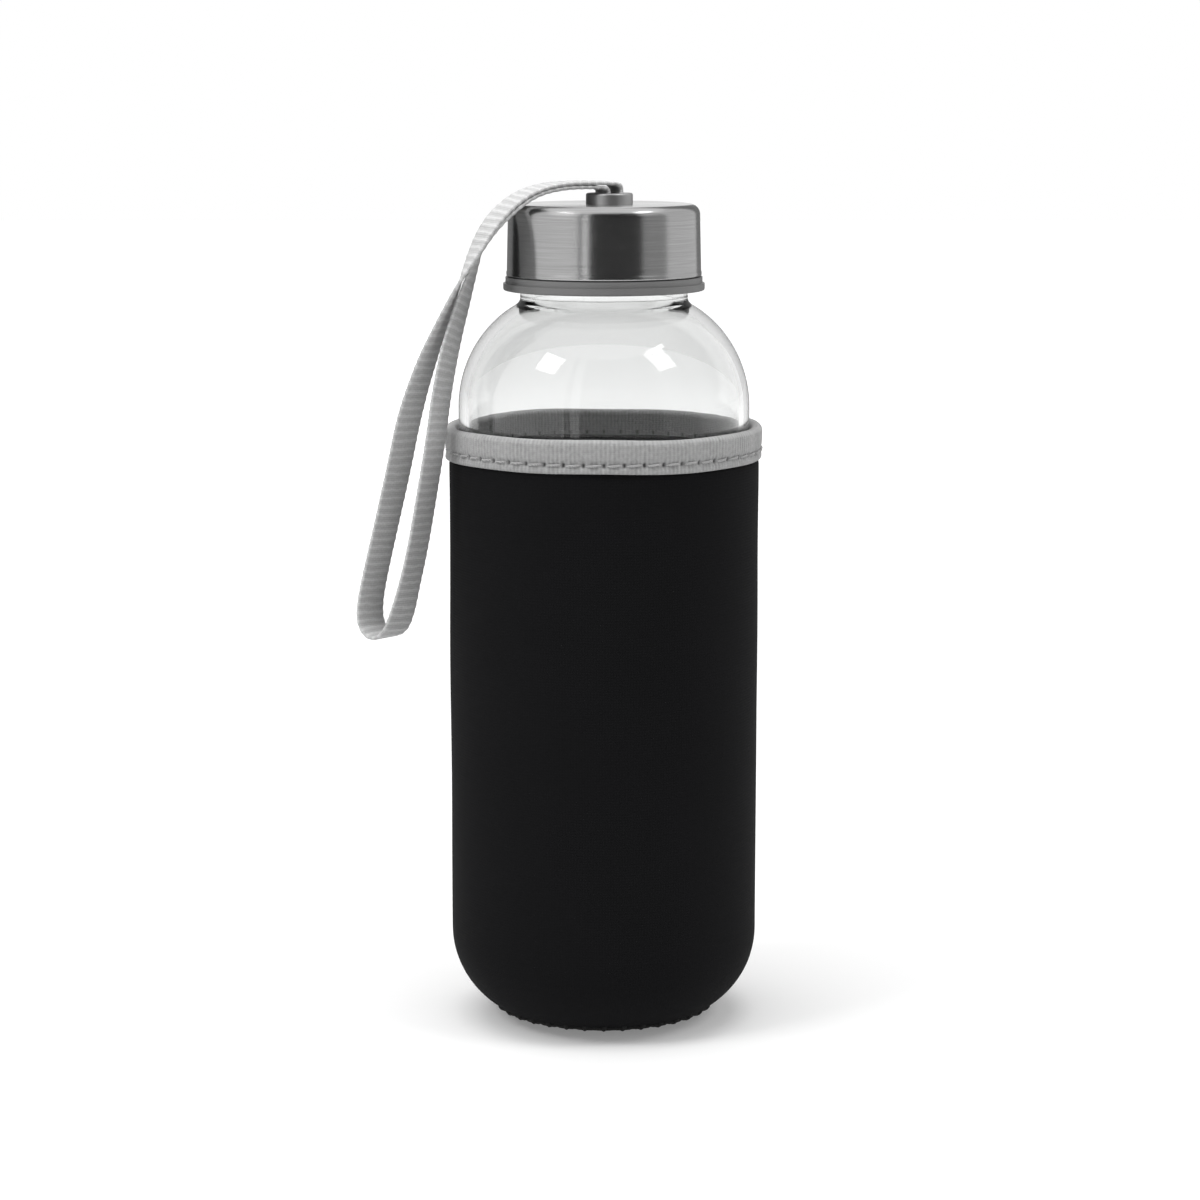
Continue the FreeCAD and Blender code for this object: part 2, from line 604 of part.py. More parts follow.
def write_parts(document, pieces):
    """Check every object and every shape, then write one file for each sub-part."""
    document.recompute()
    for item in document.Objects:
        if {"Invalid", "Error"} & set(item.State):
            raise RuntimeError(f"{item.Label} did not recompute: {item.State}")
    for piece in pieces:
        if piece.Shape.isNull() or not piece.Shape.isValid():
            raise RuntimeError(f"{piece.Label} has no valid shape")
        print(piece.Label, "solids", len(piece.Shape.Solids), "volume", round(piece.Shape.Volume, 1))
    os.makedirs("parts", exist_ok=True)
    for piece in pieces:
        piece.Shape.exportStep(f"parts/{piece.Label}.step")


def main():
    """Build the bottle, its cap, its strap and its sleeve."""
    document = FreeCAD.newDocument("glass_water_bottle")
    fill_sheet(document)
    write_parts(document, [
        make_bottle(document),
        make_shell(document),
        make_liner(document),
        make_seal(document),
        make_anchor(document),
        make_tuck(document),
        make_strap(document),
        make_sleeve(document),
        make_base(document),
        make_ring(document, "base_seam", "seam_radius", SEAM_HEIGHT, "seam_thread"),
        make_binding(document),
        make_ring(document, "binding_stitch", BINDING_RADIUS, STITCH_HEIGHT, "stitch_thread"),
    ])


main()
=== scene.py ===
"""Looks, light and camera of a glass water bottle in a foam-fabric sleeve.

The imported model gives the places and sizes, and the classes below give each sub-assembly its
visible shape and finish: the glass, the steel cap with its liner and strap, and the sewn sleeve.
Lengths inside the classes are millimetres, and meshes are written in metres.
"""
import logging
import math
from collections.abc import Callable, Iterator
from contextlib import contextmanager
from dataclasses import dataclass
from enum import Enum

import bpy
import numpy as np
from mathutils import Matrix, Vector, noise


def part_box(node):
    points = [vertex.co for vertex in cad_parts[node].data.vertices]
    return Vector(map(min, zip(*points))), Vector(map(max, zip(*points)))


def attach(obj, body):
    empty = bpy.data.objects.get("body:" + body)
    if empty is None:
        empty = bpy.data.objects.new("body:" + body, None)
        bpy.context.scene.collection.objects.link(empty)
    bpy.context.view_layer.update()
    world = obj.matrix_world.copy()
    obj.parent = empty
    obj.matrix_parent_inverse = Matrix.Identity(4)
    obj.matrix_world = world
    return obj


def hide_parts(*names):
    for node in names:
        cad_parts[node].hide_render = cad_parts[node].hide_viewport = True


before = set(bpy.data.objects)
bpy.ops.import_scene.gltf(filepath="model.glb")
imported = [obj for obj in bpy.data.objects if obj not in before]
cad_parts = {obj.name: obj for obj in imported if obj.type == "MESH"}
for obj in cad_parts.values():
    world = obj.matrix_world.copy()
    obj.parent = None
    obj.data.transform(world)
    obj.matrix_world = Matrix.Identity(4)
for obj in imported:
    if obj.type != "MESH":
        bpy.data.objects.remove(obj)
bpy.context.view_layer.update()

LOG = logging.getLogger("water_bottle")
MM = 0.001
Piece = bpy.types.Object
Point2 = tuple[float, float]
Point3 = tuple[float, float, float]
Array = np.ndarray
Socket = bpy.types.NodeSocket
Value = Socket | float
Shape = Callable[[Array, Array, Array], Array]


class Body(Enum):
    """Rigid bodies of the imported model."""

    SLEEVE = "sleeve"
    BOTTLE = "bottle"
    SEAL = "seal"
    CAP = "cap"


class Slot(Enum):
    """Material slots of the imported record."""

    GLASS = "glass"
    STEEL = "cap_steel"
    PLASTIC = "liner_plastic"
    SILICONE = "silicone"
    ANCHOR = "anchor_metal"
    WEBBING = "webbing"
    NEOPRENE = "neoprene"
    TAPE = "binding_tape"
    SEAM = "seam_thread"
    STITCH = "stitch_thread"


# ---------------------------------------------------------------- mesh tools


def arc(centre: Point2, radius: float, start: float, end: float, steps: int) -> list[Point2]:
    """Points of an arc in the radius-height plane.

    Args:
        centre: radius and height of the arc's centre.
        radius: the arc's radius.
        start: first angle in degrees, counted from the outward direction towards +Z.
        end: last angle in degrees.
        steps: number of equal steps between them.

    Returns:
        The points from start to end, both included.
    """
    angles = np.radians(np.linspace(start, end, steps + 1))
    return [(centre[0] + radius * math.cos(a), centre[1] + radius * math.sin(a)) for a in angles]


def run(start: Point2, end: Point2, longest: float) -> list[Point2]:
    """Points on a straight line, so that no step is longer than a given length.

    Args:
        start: first point, left out of the result.
        end: last point, included.
        longest: the longest step.

    Returns:
        The points after start, up to end.
    """
    count = max(1, math.ceil(math.dist(start, end) / longest))
    return [
        (start[0] + (end[0] - start[0]) * k / count, start[1] + (end[1] - start[1]) * k / count)
        for k in range(1, count + 1)
    ]


def only(piece: Piece) -> None:
    """Make a piece the one selected and active object.

    Args:
        piece: the piece.
    """
    bpy.ops.object.select_all(action="DESELECT")
    piece.select_set(True)
    bpy.context.view_layer.objects.active = piece


def new_object(name: str, data: bpy.types.ID) -> Piece:
    """A new object in the scene, made from a mesh, curve, light or camera.

    Args:
        name: name of the object.
        data: what it shows.

    Returns:
        The object.
    """
    made = bpy.data.objects.new(name, data)
    bpy.context.scene.collection.objects.link(made)
    return made


@contextmanager
def editing(piece: Piece) -> Iterator[None]:
    """Hold a piece in edit mode with its whole mesh selected.

    Args:
        piece: the piece to edit.

    Returns:
        A context that goes back to object mode at its end.
    """
    only(piece)
    bpy.ops.object.mode_set(mode="EDIT")
    select_mesh()
    yield
    bpy.ops.object.mode_set(mode="OBJECT")


def select_mesh() -> None:
    """Select the whole of the mesh in edit mode."""
    bpy.ops.mesh.select_all(action="SELECT")


def face_outward() -> None:
    """Turn every face of the mesh in edit mode outward."""
    select_mesh()
    bpy.ops.mesh.normals_make_consistent(inside=False)


def turn_profile(name: str, profile: list[Point2], steps: int) -> Piece:
    """Spin a closed profile about +Z.

    Args:
        name: name of the new piece.
        profile: radius and height of each point, in millimetres, in order round the section.
        steps: number of steps round the turn.

    Returns:
        The new piece, with merged seams and its faces outward.
    """
    bpy.ops.mesh.primitive_circle_add(vertices=len(profile), radius=1.0, fill_type="NOTHING")
    piece = bpy.context.active_object
    piece.name = piece.data.name = name
    set_coordinates(piece, np.array([(radius, 0.0, height) for radius, height in profile]))
    with editing(piece):
        bpy.ops.mesh.spin(steps=steps, angle=math.tau, center=(0, 0, 0), axis=(0, 0, 1))
        select_mesh()
        bpy.ops.mesh.remove_doubles(threshold=0.002 * MM)
        bpy.ops.mesh.delete_loose()
        face_outward()
    return piece


def smooth(piece: Piece, degrees: float) -> None:
    """Shade a piece smooth, with edges sharper than the angle left crisp."""
    only(piece)
    bpy.ops.object.shade_smooth_by_angle(angle=math.radians(degrees))


def coordinates(piece: Piece) -> Array:
    """The vertices of a piece.

    Args:
        piece: the piece to read.

    Returns:
        One row for each vertex, in millimetres.
    """
    flat = np.empty(len(piece.data.vertices) * 3)
    piece.data.vertices.foreach_get("co", flat)
    return flat.reshape(-1, 3) / MM


def set_coordinates(piece: Piece, rows: Array) -> None:
    """Write rows of millimetres back as the vertices of a piece."""
    piece.data.vertices.foreach_set("co", (rows * MM).ravel())
    piece.data.update()


def push_out(piece: Piece, amount: Shape) -> None:
    """Move each vertex of a turned piece along its radius.

    Args:
        piece: the piece to shape.
        amount: a function of angle, radius and height that gives the move, in millimetres.
    """
    rows = coordinates(piece)
    angle = np.arctan2(rows[:, 1], rows[:, 0])
    radius = np.hypot(rows[:, 0], rows[:, 1])
    moved = radius + amount(angle, radius, rows[:, 2])
    rows[:, 0], rows[:, 1] = moved * np.cos(angle), moved * np.sin(angle)
    set_coordinates(piece, rows)


def wrap_uv(piece: Piece, reference: float) -> None:
    """Give a turned piece a UV map in millimetres: round the axis, and along the section.

    Args:
        piece: the turned piece.
        reference: the radius at which the map round the axis is true to size.
    """
    layer = piece.data.uv_layers.new(name="surface")
    rows = coordinates(piece)
    for face in piece.data.polygons:
        first = None
        for corner, vertex in zip(face.loop_indices, face.vertices):
            x, y, height = rows[vertex]
            angle = math.atan2(y, x)
            first = angle if first is None else first
            angle += math.tau * round((first - angle) / math.tau)
            layer.data[corner].uv = (angle * reference, height + math.hypot(x, y))


def join(name: str, pieces: list[Piece]) -> Piece:
    """Join pieces into the first one and name it.

    Args:
        name: name of the joined piece.
        pieces: two or more pieces.

    Returns:
        The joined piece.
    """
    only(pieces[0])
    for piece in pieces:
        piece.select_set(True)
    bpy.ops.object.join()
    pieces[0].name = name
    return pieces[0]


def stitch(length: float, radius: float, bow: float) -> Piece:
    """One stitch of thread along X that bows out along +Z, with its ends pulled in.

    Args:
        length: length of the stitch in millimetres.
        radius: radius of the thread.
        bow: how far the ends lie below the middle.

    Returns:
        The stitch, centred on the origin.
    """
    end_from, end_scale = 0.95, 0.55
    bpy.ops.mesh.primitive_cylinder_add(vertices=8, radius=radius * MM, depth=length * MM,
                                        end_fill_type="TRIFAN")
    piece = bpy.context.active_object
    with editing(piece):
        bpy.ops.transform.rotate(value=math.pi / 2, orient_axis="Y", center_override=(0, 0, 0))
        for share in (-0.3, -0.1, 0.1, 0.3):
            select_mesh()
            bpy.ops.mesh.bisect(plane_co=(share * length * MM, 0, 0), plane_no=(1, 0, 0))
    rows = coordinates(piece)
    along = np.abs(rows[:, 0]) / (length / 2)
    taper = np.where(along > end_from, end_scale, 1.0)
    rows[:, 1] *= taper
    rows[:, 2] = rows[:, 2] * taper - bow * along ** 2
    set_coordinates(piece, rows)
    return piece


def placed_copy(piece: Piece, place: Matrix) -> Piece:
    """A copy of a piece with its own mesh.

    Args:
        piece: the piece to copy.
        place: the move that is made in the copy's mesh, in metres.

    Returns:
        The copy.
    """
    copy = new_object(piece.name, piece.data.copy())
    copy.data.transform(place)
    return copy


def frame_at(place: Vector, along: Vector, outward: Vector) -> Matrix:
    """A matrix that carries the origin to a place and lays a piece along a surface.

    Args:
        place: the place in metres.
        along: the direction that X takes.
        outward: the direction that Z comes nearest to.

    Returns:
        The matrix.
    """
    along = along.normalized()
    across = outward.cross(along).normalized()
    turned = Matrix((along, across, along.cross(across))).transposed().to_4x4()
    return Matrix.Translation(place) @ turned


# ---------------------------------------------------------------- finishes


class Nodes:
    """Adds and links the nodes of one material or world."""

    def __init__(self, owner: bpy.types.Material | bpy.types.World) -> None:
        """Start on the nodes that a new material or world has."""
        owner.use_nodes = True
        self.tree = owner.node_tree

    def add(self, kind: str, inputs: dict | None = None, **settings: str) -> bpy.types.Node:
        """Add a node.

        Args:
            kind: the node's type without its "ShaderNode" prefix.
            inputs: input name or number to a value, or to a socket to link.
            settings: properties of the node.

        Returns:
            The new node.
        """
        node = self.tree.nodes.new("ShaderNode" + kind)
        for key, value in settings.items():
            setattr(node, key, value)
        for key, value in (inputs or {}).items():
            self.set(node.inputs[key], value)
        return node

    def set(self, socket: Socket, value: Value | tuple) -> None:
        """Link a socket to another, or give it a value.

        Args:
            socket: the input to set.
            value: an output to link to it, or the value.
        """
        if isinstance(value, Socket):
            self.tree.links.new(value, socket)
        else:
            socket.default_value = value

    def maths(self, operation: str, first: Value, second: Value = 0.0) -> Socket:
        """The result of a Math node."""
        return self.add("Math", {0: first, 1: second}, operation=operation).outputs[0]

    def plus(self, first: Value, second: Value) -> Socket:
        """The sum of two values."""
        return self.maths("ADD", first, second)

    def times(self, first: Value, second: Value) -> Socket:
        """The product of two values."""
        return self.maths("MULTIPLY", first, second)

    def weigh(self, *parts: tuple[Value, float]) -> Socket:
        """The sum of some values, each times its weight.

        Args:
            parts: each value with its weight.

        Returns:
            The sum's socket.
        """
        total = self.times(*parts[0])
        for part in parts[1:]:
            total = self.plus(total, self.times(*part))
        return total

    def blend(self, factor: Value, first: Point3 | Socket, second: Point3 | Socket) -> Socket:
        """A colour between two colours.

        Args:
            factor: 0 for the first colour, 1 for the second.
            first: a colour, or a socket that gives one.
            second: the same.

        Returns:
            The colour's socket.
        """
        mix = self.add("Mix", data_type="RGBA")
        self.set(mix.inputs[0], factor)
        for number, colour in ((6, first), (7, second)):
            self.set(mix.inputs[number], (*colour, 1.0) if isinstance(colour, tuple) else colour)
        return mix.outputs[2]

    def noise(self, vector: Socket, scale: float, detail: float = 3.0) -> Socket:
        """The grey of a Noise texture."""
        made = self.add("TexNoise", {"Vector": vector, "Scale": scale, "Detail": detail})
        return made.outputs["Fac"]

    def wave(self, value: Value, period: float) -> Socket:
        """A smooth wave from 0 to 1 that repeats after each period of a value."""
        swing = self.maths("SINE", self.times(value, math.tau / period))
        return self.plus(self.times(swing, 0.5), 0.5)

    def place(self) -> Socket:
        """The place on the piece, in metres."""
        return self.add("TexCoord").outputs["Object"]

    def split(self, vector: Socket) -> tuple[Socket, Socket, Socket]:
        """The three parts of a vector."""
        return tuple(self.add("SeparateXYZ", {0: vector}).outputs)

    def surface(self) -> tuple[Socket, Socket, Socket]:
        """The piece's own UV map in millimetres, and its two coordinates."""
        uv = self.add("UVMap", uv_map="surface").outputs[0]
        return (uv, *self.split(uv)[:2])

    def seen(self) -> Socket:
        """Tell the rays that show something from those that only light it.

        Returns:
            1 for rays from the camera, off shiny surfaces and through glass, 0 for all others.
        """
        rays = self.add("LightPath").outputs
        direct = self.maths("MAXIMUM", rays["Is Camera Ray"], rays["Is Glossy Ray"])
        return self.maths("MAXIMUM", direct, rays["Is Transmission Ray"])

    def bump(self, height: Socket, strength: float, distance: float) -> None:
        """Drive the shader's normal from a height.

        Args:
            height: the height's socket.
            strength: strength of the bump.
            distance: depth of the bump in millimetres.
        """
        made = self.add("Bump", {"Strength": strength, "Distance": distance * MM, "Height": height})
        self.settle(Normal=made.outputs[0])

    def settle(self, **values: Value | tuple) -> None:
        """Set the shader's own sockets.

        Args:
            values: socket name, with underscores for spaces, to a value or a socket.
        """
        shader = self.tree.nodes["Principled BSDF"]
        for key, value in values.items():
            self.set(shader.inputs[key.replace("_", " ")], value)


def grey(level: float) -> Point3:
    """A colour without hue."""
    return (level, level, level)


def shade(colour: Point3, share: float) -> Point3:
    """A colour made darker or lighter by a share."""
    return tuple(part * share for part in colour)


@dataclass(frozen=True)
class Finish:
    """A named finish; each kind adds its own nodes."""

    name: str

    def build(self) -> bpy.types.Material:
        """Make the finish.

        Returns:
            A new material.
        """
        material = bpy.data.materials.new(self.name)
        self.paint(Nodes(material))
        return material

    def paint(self, nodes: Nodes) -> None:
        """Add the nodes of the finish to a new material."""
        raise NotImplementedError


@dataclass(frozen=True)
class ClearGlass(Finish):
    """Clear soda glass with a faint grey body."""

    tint: Point3 = (0.885, 0.89, 0.887)
    index: float = 1.5

    def paint(self, nodes: Nodes) -> None:
        """Clear glass, with the faintest ripple from the mould.

        Args:
            nodes: the new material's nodes.
        """
        ripple = nodes.noise(nodes.place(), scale=45.0, detail=1.0)
        nodes.bump(ripple, strength=0.05, distance=0.4)
        nodes.settle(Base_Color=(*self.tint, 1), Roughness=0.0, IOR=self.index,
                     Transmission_Weight=1.0)


@dataclass(frozen=True)
class BrushedSteel(Finish):
    """Steel brushed round the cap's axis, with fine and broad scratches."""

    light: Point3 = grey(0.66)
    dark: Point3 = grey(0.32)
    roughness: float = 0.22
    anisotropy: float = 0.6
    quarter_turn: float = 0.25
    scratch: float = 0.75
    fine_spread: float = 1.6
    fine_pitch: float = 8000.0
    broad_spread: float = 1.1
    broad_pitch: float = 2800.0

    def paint(self, nodes: Nodes) -> None:
        """Fine scratches that run round the axis, on the side and on the top alike.

        Args:
            nodes: the new material's nodes.
        """
        across, depth, height = nodes.split(nodes.place())
        angle = nodes.maths("ARCTAN2", depth, across)
        square = nodes.plus(nodes.times(across, across), nodes.times(depth, depth))
        radius = nodes.maths("SQRT", square)

        def scratches(spread: float, pitch: float, detail: float) -> Socket:
            """Noise drawn out round the axis.

            Args:
                spread: turns of noise in a radian round the axis.
                pitch: turns of noise in a metre across the scratches.
                detail: detail of the noise.

            Returns:
                The noise's socket.
            """
            parts = {0: nodes.times(angle, spread), 1: nodes.times(height, pitch),
                     2: nodes.times(radius, pitch)}
            return nodes.noise(nodes.add("CombineXYZ", parts).outputs[0], 1.0, detail)

        fine = scratches(self.fine_spread, self.fine_pitch, 2.0)
        broad = scratches(self.broad_spread, self.broad_pitch, 3.0)
        both = nodes.weigh((fine, 0.6), (broad, 0.4))
        nodes.bump(both, self.scratch, distance=0.02)
        tangent = nodes.add("Tangent", direction_type="RADIAL", axis="Z").outputs[0]
        rough = nodes.plus(nodes.times(broad, 0.06), self.roughness - 0.03)
        nodes.settle(Base_Color=nodes.blend(both, self.dark, self.light), Metallic=1.0,
                     Roughness=rough, Anisotropic=self.anisotropy,
                     Anisotropic_Rotation=self.quarter_turn, Tangent=tangent)


@dataclass(frozen=True)
class Moulded(Finish):
    """Satin moulded plastic, silicone or blasted metal with a fine grain."""

    colour: Point3
    roughness: float
    grain: float = 0.02
    metallic: float = 0.0

    def paint(self, nodes: Nodes) -> None:
        """A fine grain with slow changes of tone.

        Args:
            nodes: the new material's nodes.
        """
        place = nodes.place()
        slow = nodes.noise(place, scale=120.0, detail=2.0)
        nodes.bump(nodes.noise(place, scale=4200.0), strength=0.35, distance=self.grain)
        rough = nodes.plus(nodes.times(slow, 0.14), self.roughness - 0.07)
        nodes.settle(Base_Color=nodes.blend(slow, shade(self.colour, 0.86), self.colour),
                     Roughness=rough, Metallic=self.metallic)


@dataclass(frozen=True)
class KnitFoam(Finish):
    """Dark foam fabric with a fine knitted face."""

    colour: Point3 = (0.0055, 0.0055, 0.006)
    stitch: float = 0.62

    def paint(self, nodes: Nodes) -> None:
        """Fine rows and columns of knit, with a soft bloom and faint lint.

        Args:
            nodes: the new material's nodes.
        """
        uv, around, along = nodes.surface()
        rows = nodes.wave(along, self.stitch)
        shift = nodes.times(rows, self.stitch * 0.35)
        columns = nodes.wave(nodes.plus(around, shift), self.stitch)
        knit = nodes.times(rows, columns)
        lint = nodes.noise(uv, scale=1.4, detail=4.0)
        slow = nodes.noise(uv, scale=0.045, detail=2.0)
        nodes.bump(nodes.weigh((knit, 0.7), (lint, 0.5)), strength=0.45, distance=0.12)
        tone = nodes.times(nodes.plus(knit, slow), 0.5)
        nodes.settle(Base_Color=nodes.blend(tone, self.colour, shade(self.colour, 1.7)),
                     Roughness=0.85, Specular_IOR_Level=0.06, Sheen_Weight=0.012,
                     Sheen_Roughness=0.5)


@dataclass(frozen=True)
class RibbedTape(Finish):
    """Pale knitted tape with ribs that run up and down, and painted shade at its row of needle
    holes.
    """

    row: float
    pitch: float
    light: Point3 = grey(0.54)
    dark: Point3 = grey(0.25)
    # Painted shade: the near-black colour put into each needle hole.
    hole_shade: Point3 = grey(0.09)
    rib: float = 0.95
    thread: float = 0.42
    hole_shade_full: float = 0.25
    hole_shade_edge: float = 0.65

    def paint(self, nodes: Nodes) -> None:
        """Ribs, cross threads, a melange of lighter and darker yarn, and painted shade that darkens
        each needle hole.

        Args:
            nodes: the new material's nodes.
        """
        uv, around, along = nodes.surface()
        ribs = nodes.wave(around, self.rib)
        threads = nodes.wave(along, self.thread)
        yarn = nodes.noise(uv, scale=1.1, detail=4.0)
        tone = nodes.weigh((ribs, 0.22), (yarn, 0.85), (threads, -0.12))
        height = nodes.weigh((ribs, 0.5), (threads, 0.35))
        nodes.bump(nodes.plus(height, yarn), strength=0.6, distance=0.12)
        # Painted shade: the tape turns near-black at each needle hole along the stitch row, fading
        # out above and below it.
        swing = nodes.maths("SINE", nodes.times(around, math.pi / self.pitch))
        needle = nodes.maths("POWER", nodes.maths("ABSOLUTE", swing), 30.0)
        level = nodes.split(nodes.place())[2]
        offset = nodes.maths("ABSOLUTE", nodes.maths("SUBTRACT", level, self.row * MM))
        near = nodes.add("MapRange", {"Value": offset, "From Min": self.hole_shade_full * MM,
                                      "From Max": self.hole_shade_edge * MM, "To Min": 1.0,
                                      "To Max": 0.0}).outputs["Result"]
        tape = nodes.blend(tone, self.dark, self.light)
        nodes.settle(Base_Color=nodes.blend(nodes.times(needle, near), tape, self.hole_shade),
                     Roughness=0.9, Specular_IOR_Level=0.2, Sheen_Weight=0.15,
                     Sheen_Roughness=0.5)


@dataclass(frozen=True)
class Webbing(Finish):
    """Flat woven strap with ribs across it, each rib painted lighter as a painted highlight, and
    plain selvedges.
    """

    light: Point3 = grey(0.82)
    dark: Point3 = grey(0.43)
    rib: float = 1.9
    yarn: float = 0.48

    def paint(self, nodes: Nodes) -> None:
        """Ribs across the strap, filling yarns between them, and warp yarns along it; the ribs also
        lighten the colour, a painted highlight along each rib, over the fibre's real tone.

        Args:
            nodes: the new material's nodes.
        """
        uv, across, along = nodes.surface()
        wander = nodes.times(nodes.noise(uv, scale=0.35, detail=2.0), 1.1)
        ribs = nodes.maths("POWER", nodes.wave(nodes.plus(along, wander), self.rib), 2.2)
        filling = nodes.wave(along, self.yarn)
        warp = nodes.wave(across, self.yarn)
        fibre = nodes.noise(uv, scale=2.2)
        # Painted highlight: the ribs' wave lightens the colour along each rib crest; the fibre
        # noise is the yarn's real tone.
        tone = nodes.weigh((ribs, 0.34), (fibre, 0.6), (filling, -0.12))
        height = nodes.weigh((filling, 0.5), (warp, 0.35))
        nodes.bump(nodes.plus(height, ribs), strength=0.55, distance=0.1)
        nodes.settle(Base_Color=nodes.blend(tone, self.dark, self.light), Roughness=0.88,
                     Specular_IOR_Level=0.22, Sheen_Weight=0.15, Sheen_Roughness=0.5)


@dataclass(frozen=True)
class Thread(Finish):
    """Twisted sewing thread; each ply shows over its length in millimetres."""

    colour: Point3
    ply: float = 0.45

    def paint(self, nodes: Nodes) -> None:
        """Plies that show as slanting lines along the thread.

        Args:
            nodes: the new material's nodes.
        """
        place = nodes.place()
        across, depth, height = nodes.split(place)
        plies = nodes.wave(nodes.plus(nodes.plus(across, depth), height), self.ply * MM)
        fuzz = nodes.noise(place, scale=3000.0, detail=2.0)
        nodes.bump(nodes.plus(plies, fuzz), strength=0.5, distance=0.06)
        nodes.settle(Base_Color=nodes.blend(plies, shade(self.colour, 0.6), self.colour),
                     Roughness=0.75, Specular_IOR_Level=0.3)


def dress(piece: Piece, finish: Finish) -> None:
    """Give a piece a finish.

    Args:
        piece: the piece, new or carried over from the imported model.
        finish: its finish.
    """
    material = bpy.data.materials.get(finish.name) or finish.build()
    piece.data.materials.clear()
    piece.data.materials.append(material)


def settle_piece(piece: Piece, body: Body, *nodes: str) -> None:
    """Make a new piece ride on a body in place of its nodes, and report it.

    Args:
        piece: the finished piece.
        body: the body that it moves with.
        nodes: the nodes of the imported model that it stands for.
    """
    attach(piece, body.value)
    if nodes:
        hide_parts(*nodes)
    LOG.info("%s: %d faces on %s", piece.name, len(piece.data.polygons), body.value)


def complete(piece: Piece, crease: float, finish: Finish, slot: Slot, body: Body,
             *nodes: str) -> None:
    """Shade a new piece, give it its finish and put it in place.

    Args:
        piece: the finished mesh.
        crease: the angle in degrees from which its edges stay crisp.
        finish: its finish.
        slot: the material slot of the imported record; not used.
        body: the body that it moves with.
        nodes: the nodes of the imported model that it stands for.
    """
    smooth(piece, crease)
    dress(piece, finish)
    settle_piece(piece, body, *nodes)


def measured(node: str, axis: int = 0) -> tuple[float, float]:
    """Lowest and highest coordinate of a node along an axis, in millimetres."""
    lowest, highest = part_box(node)
    return lowest[axis] / MM, highest[axis] / MM


# ---------------------------------------------------------------- glass


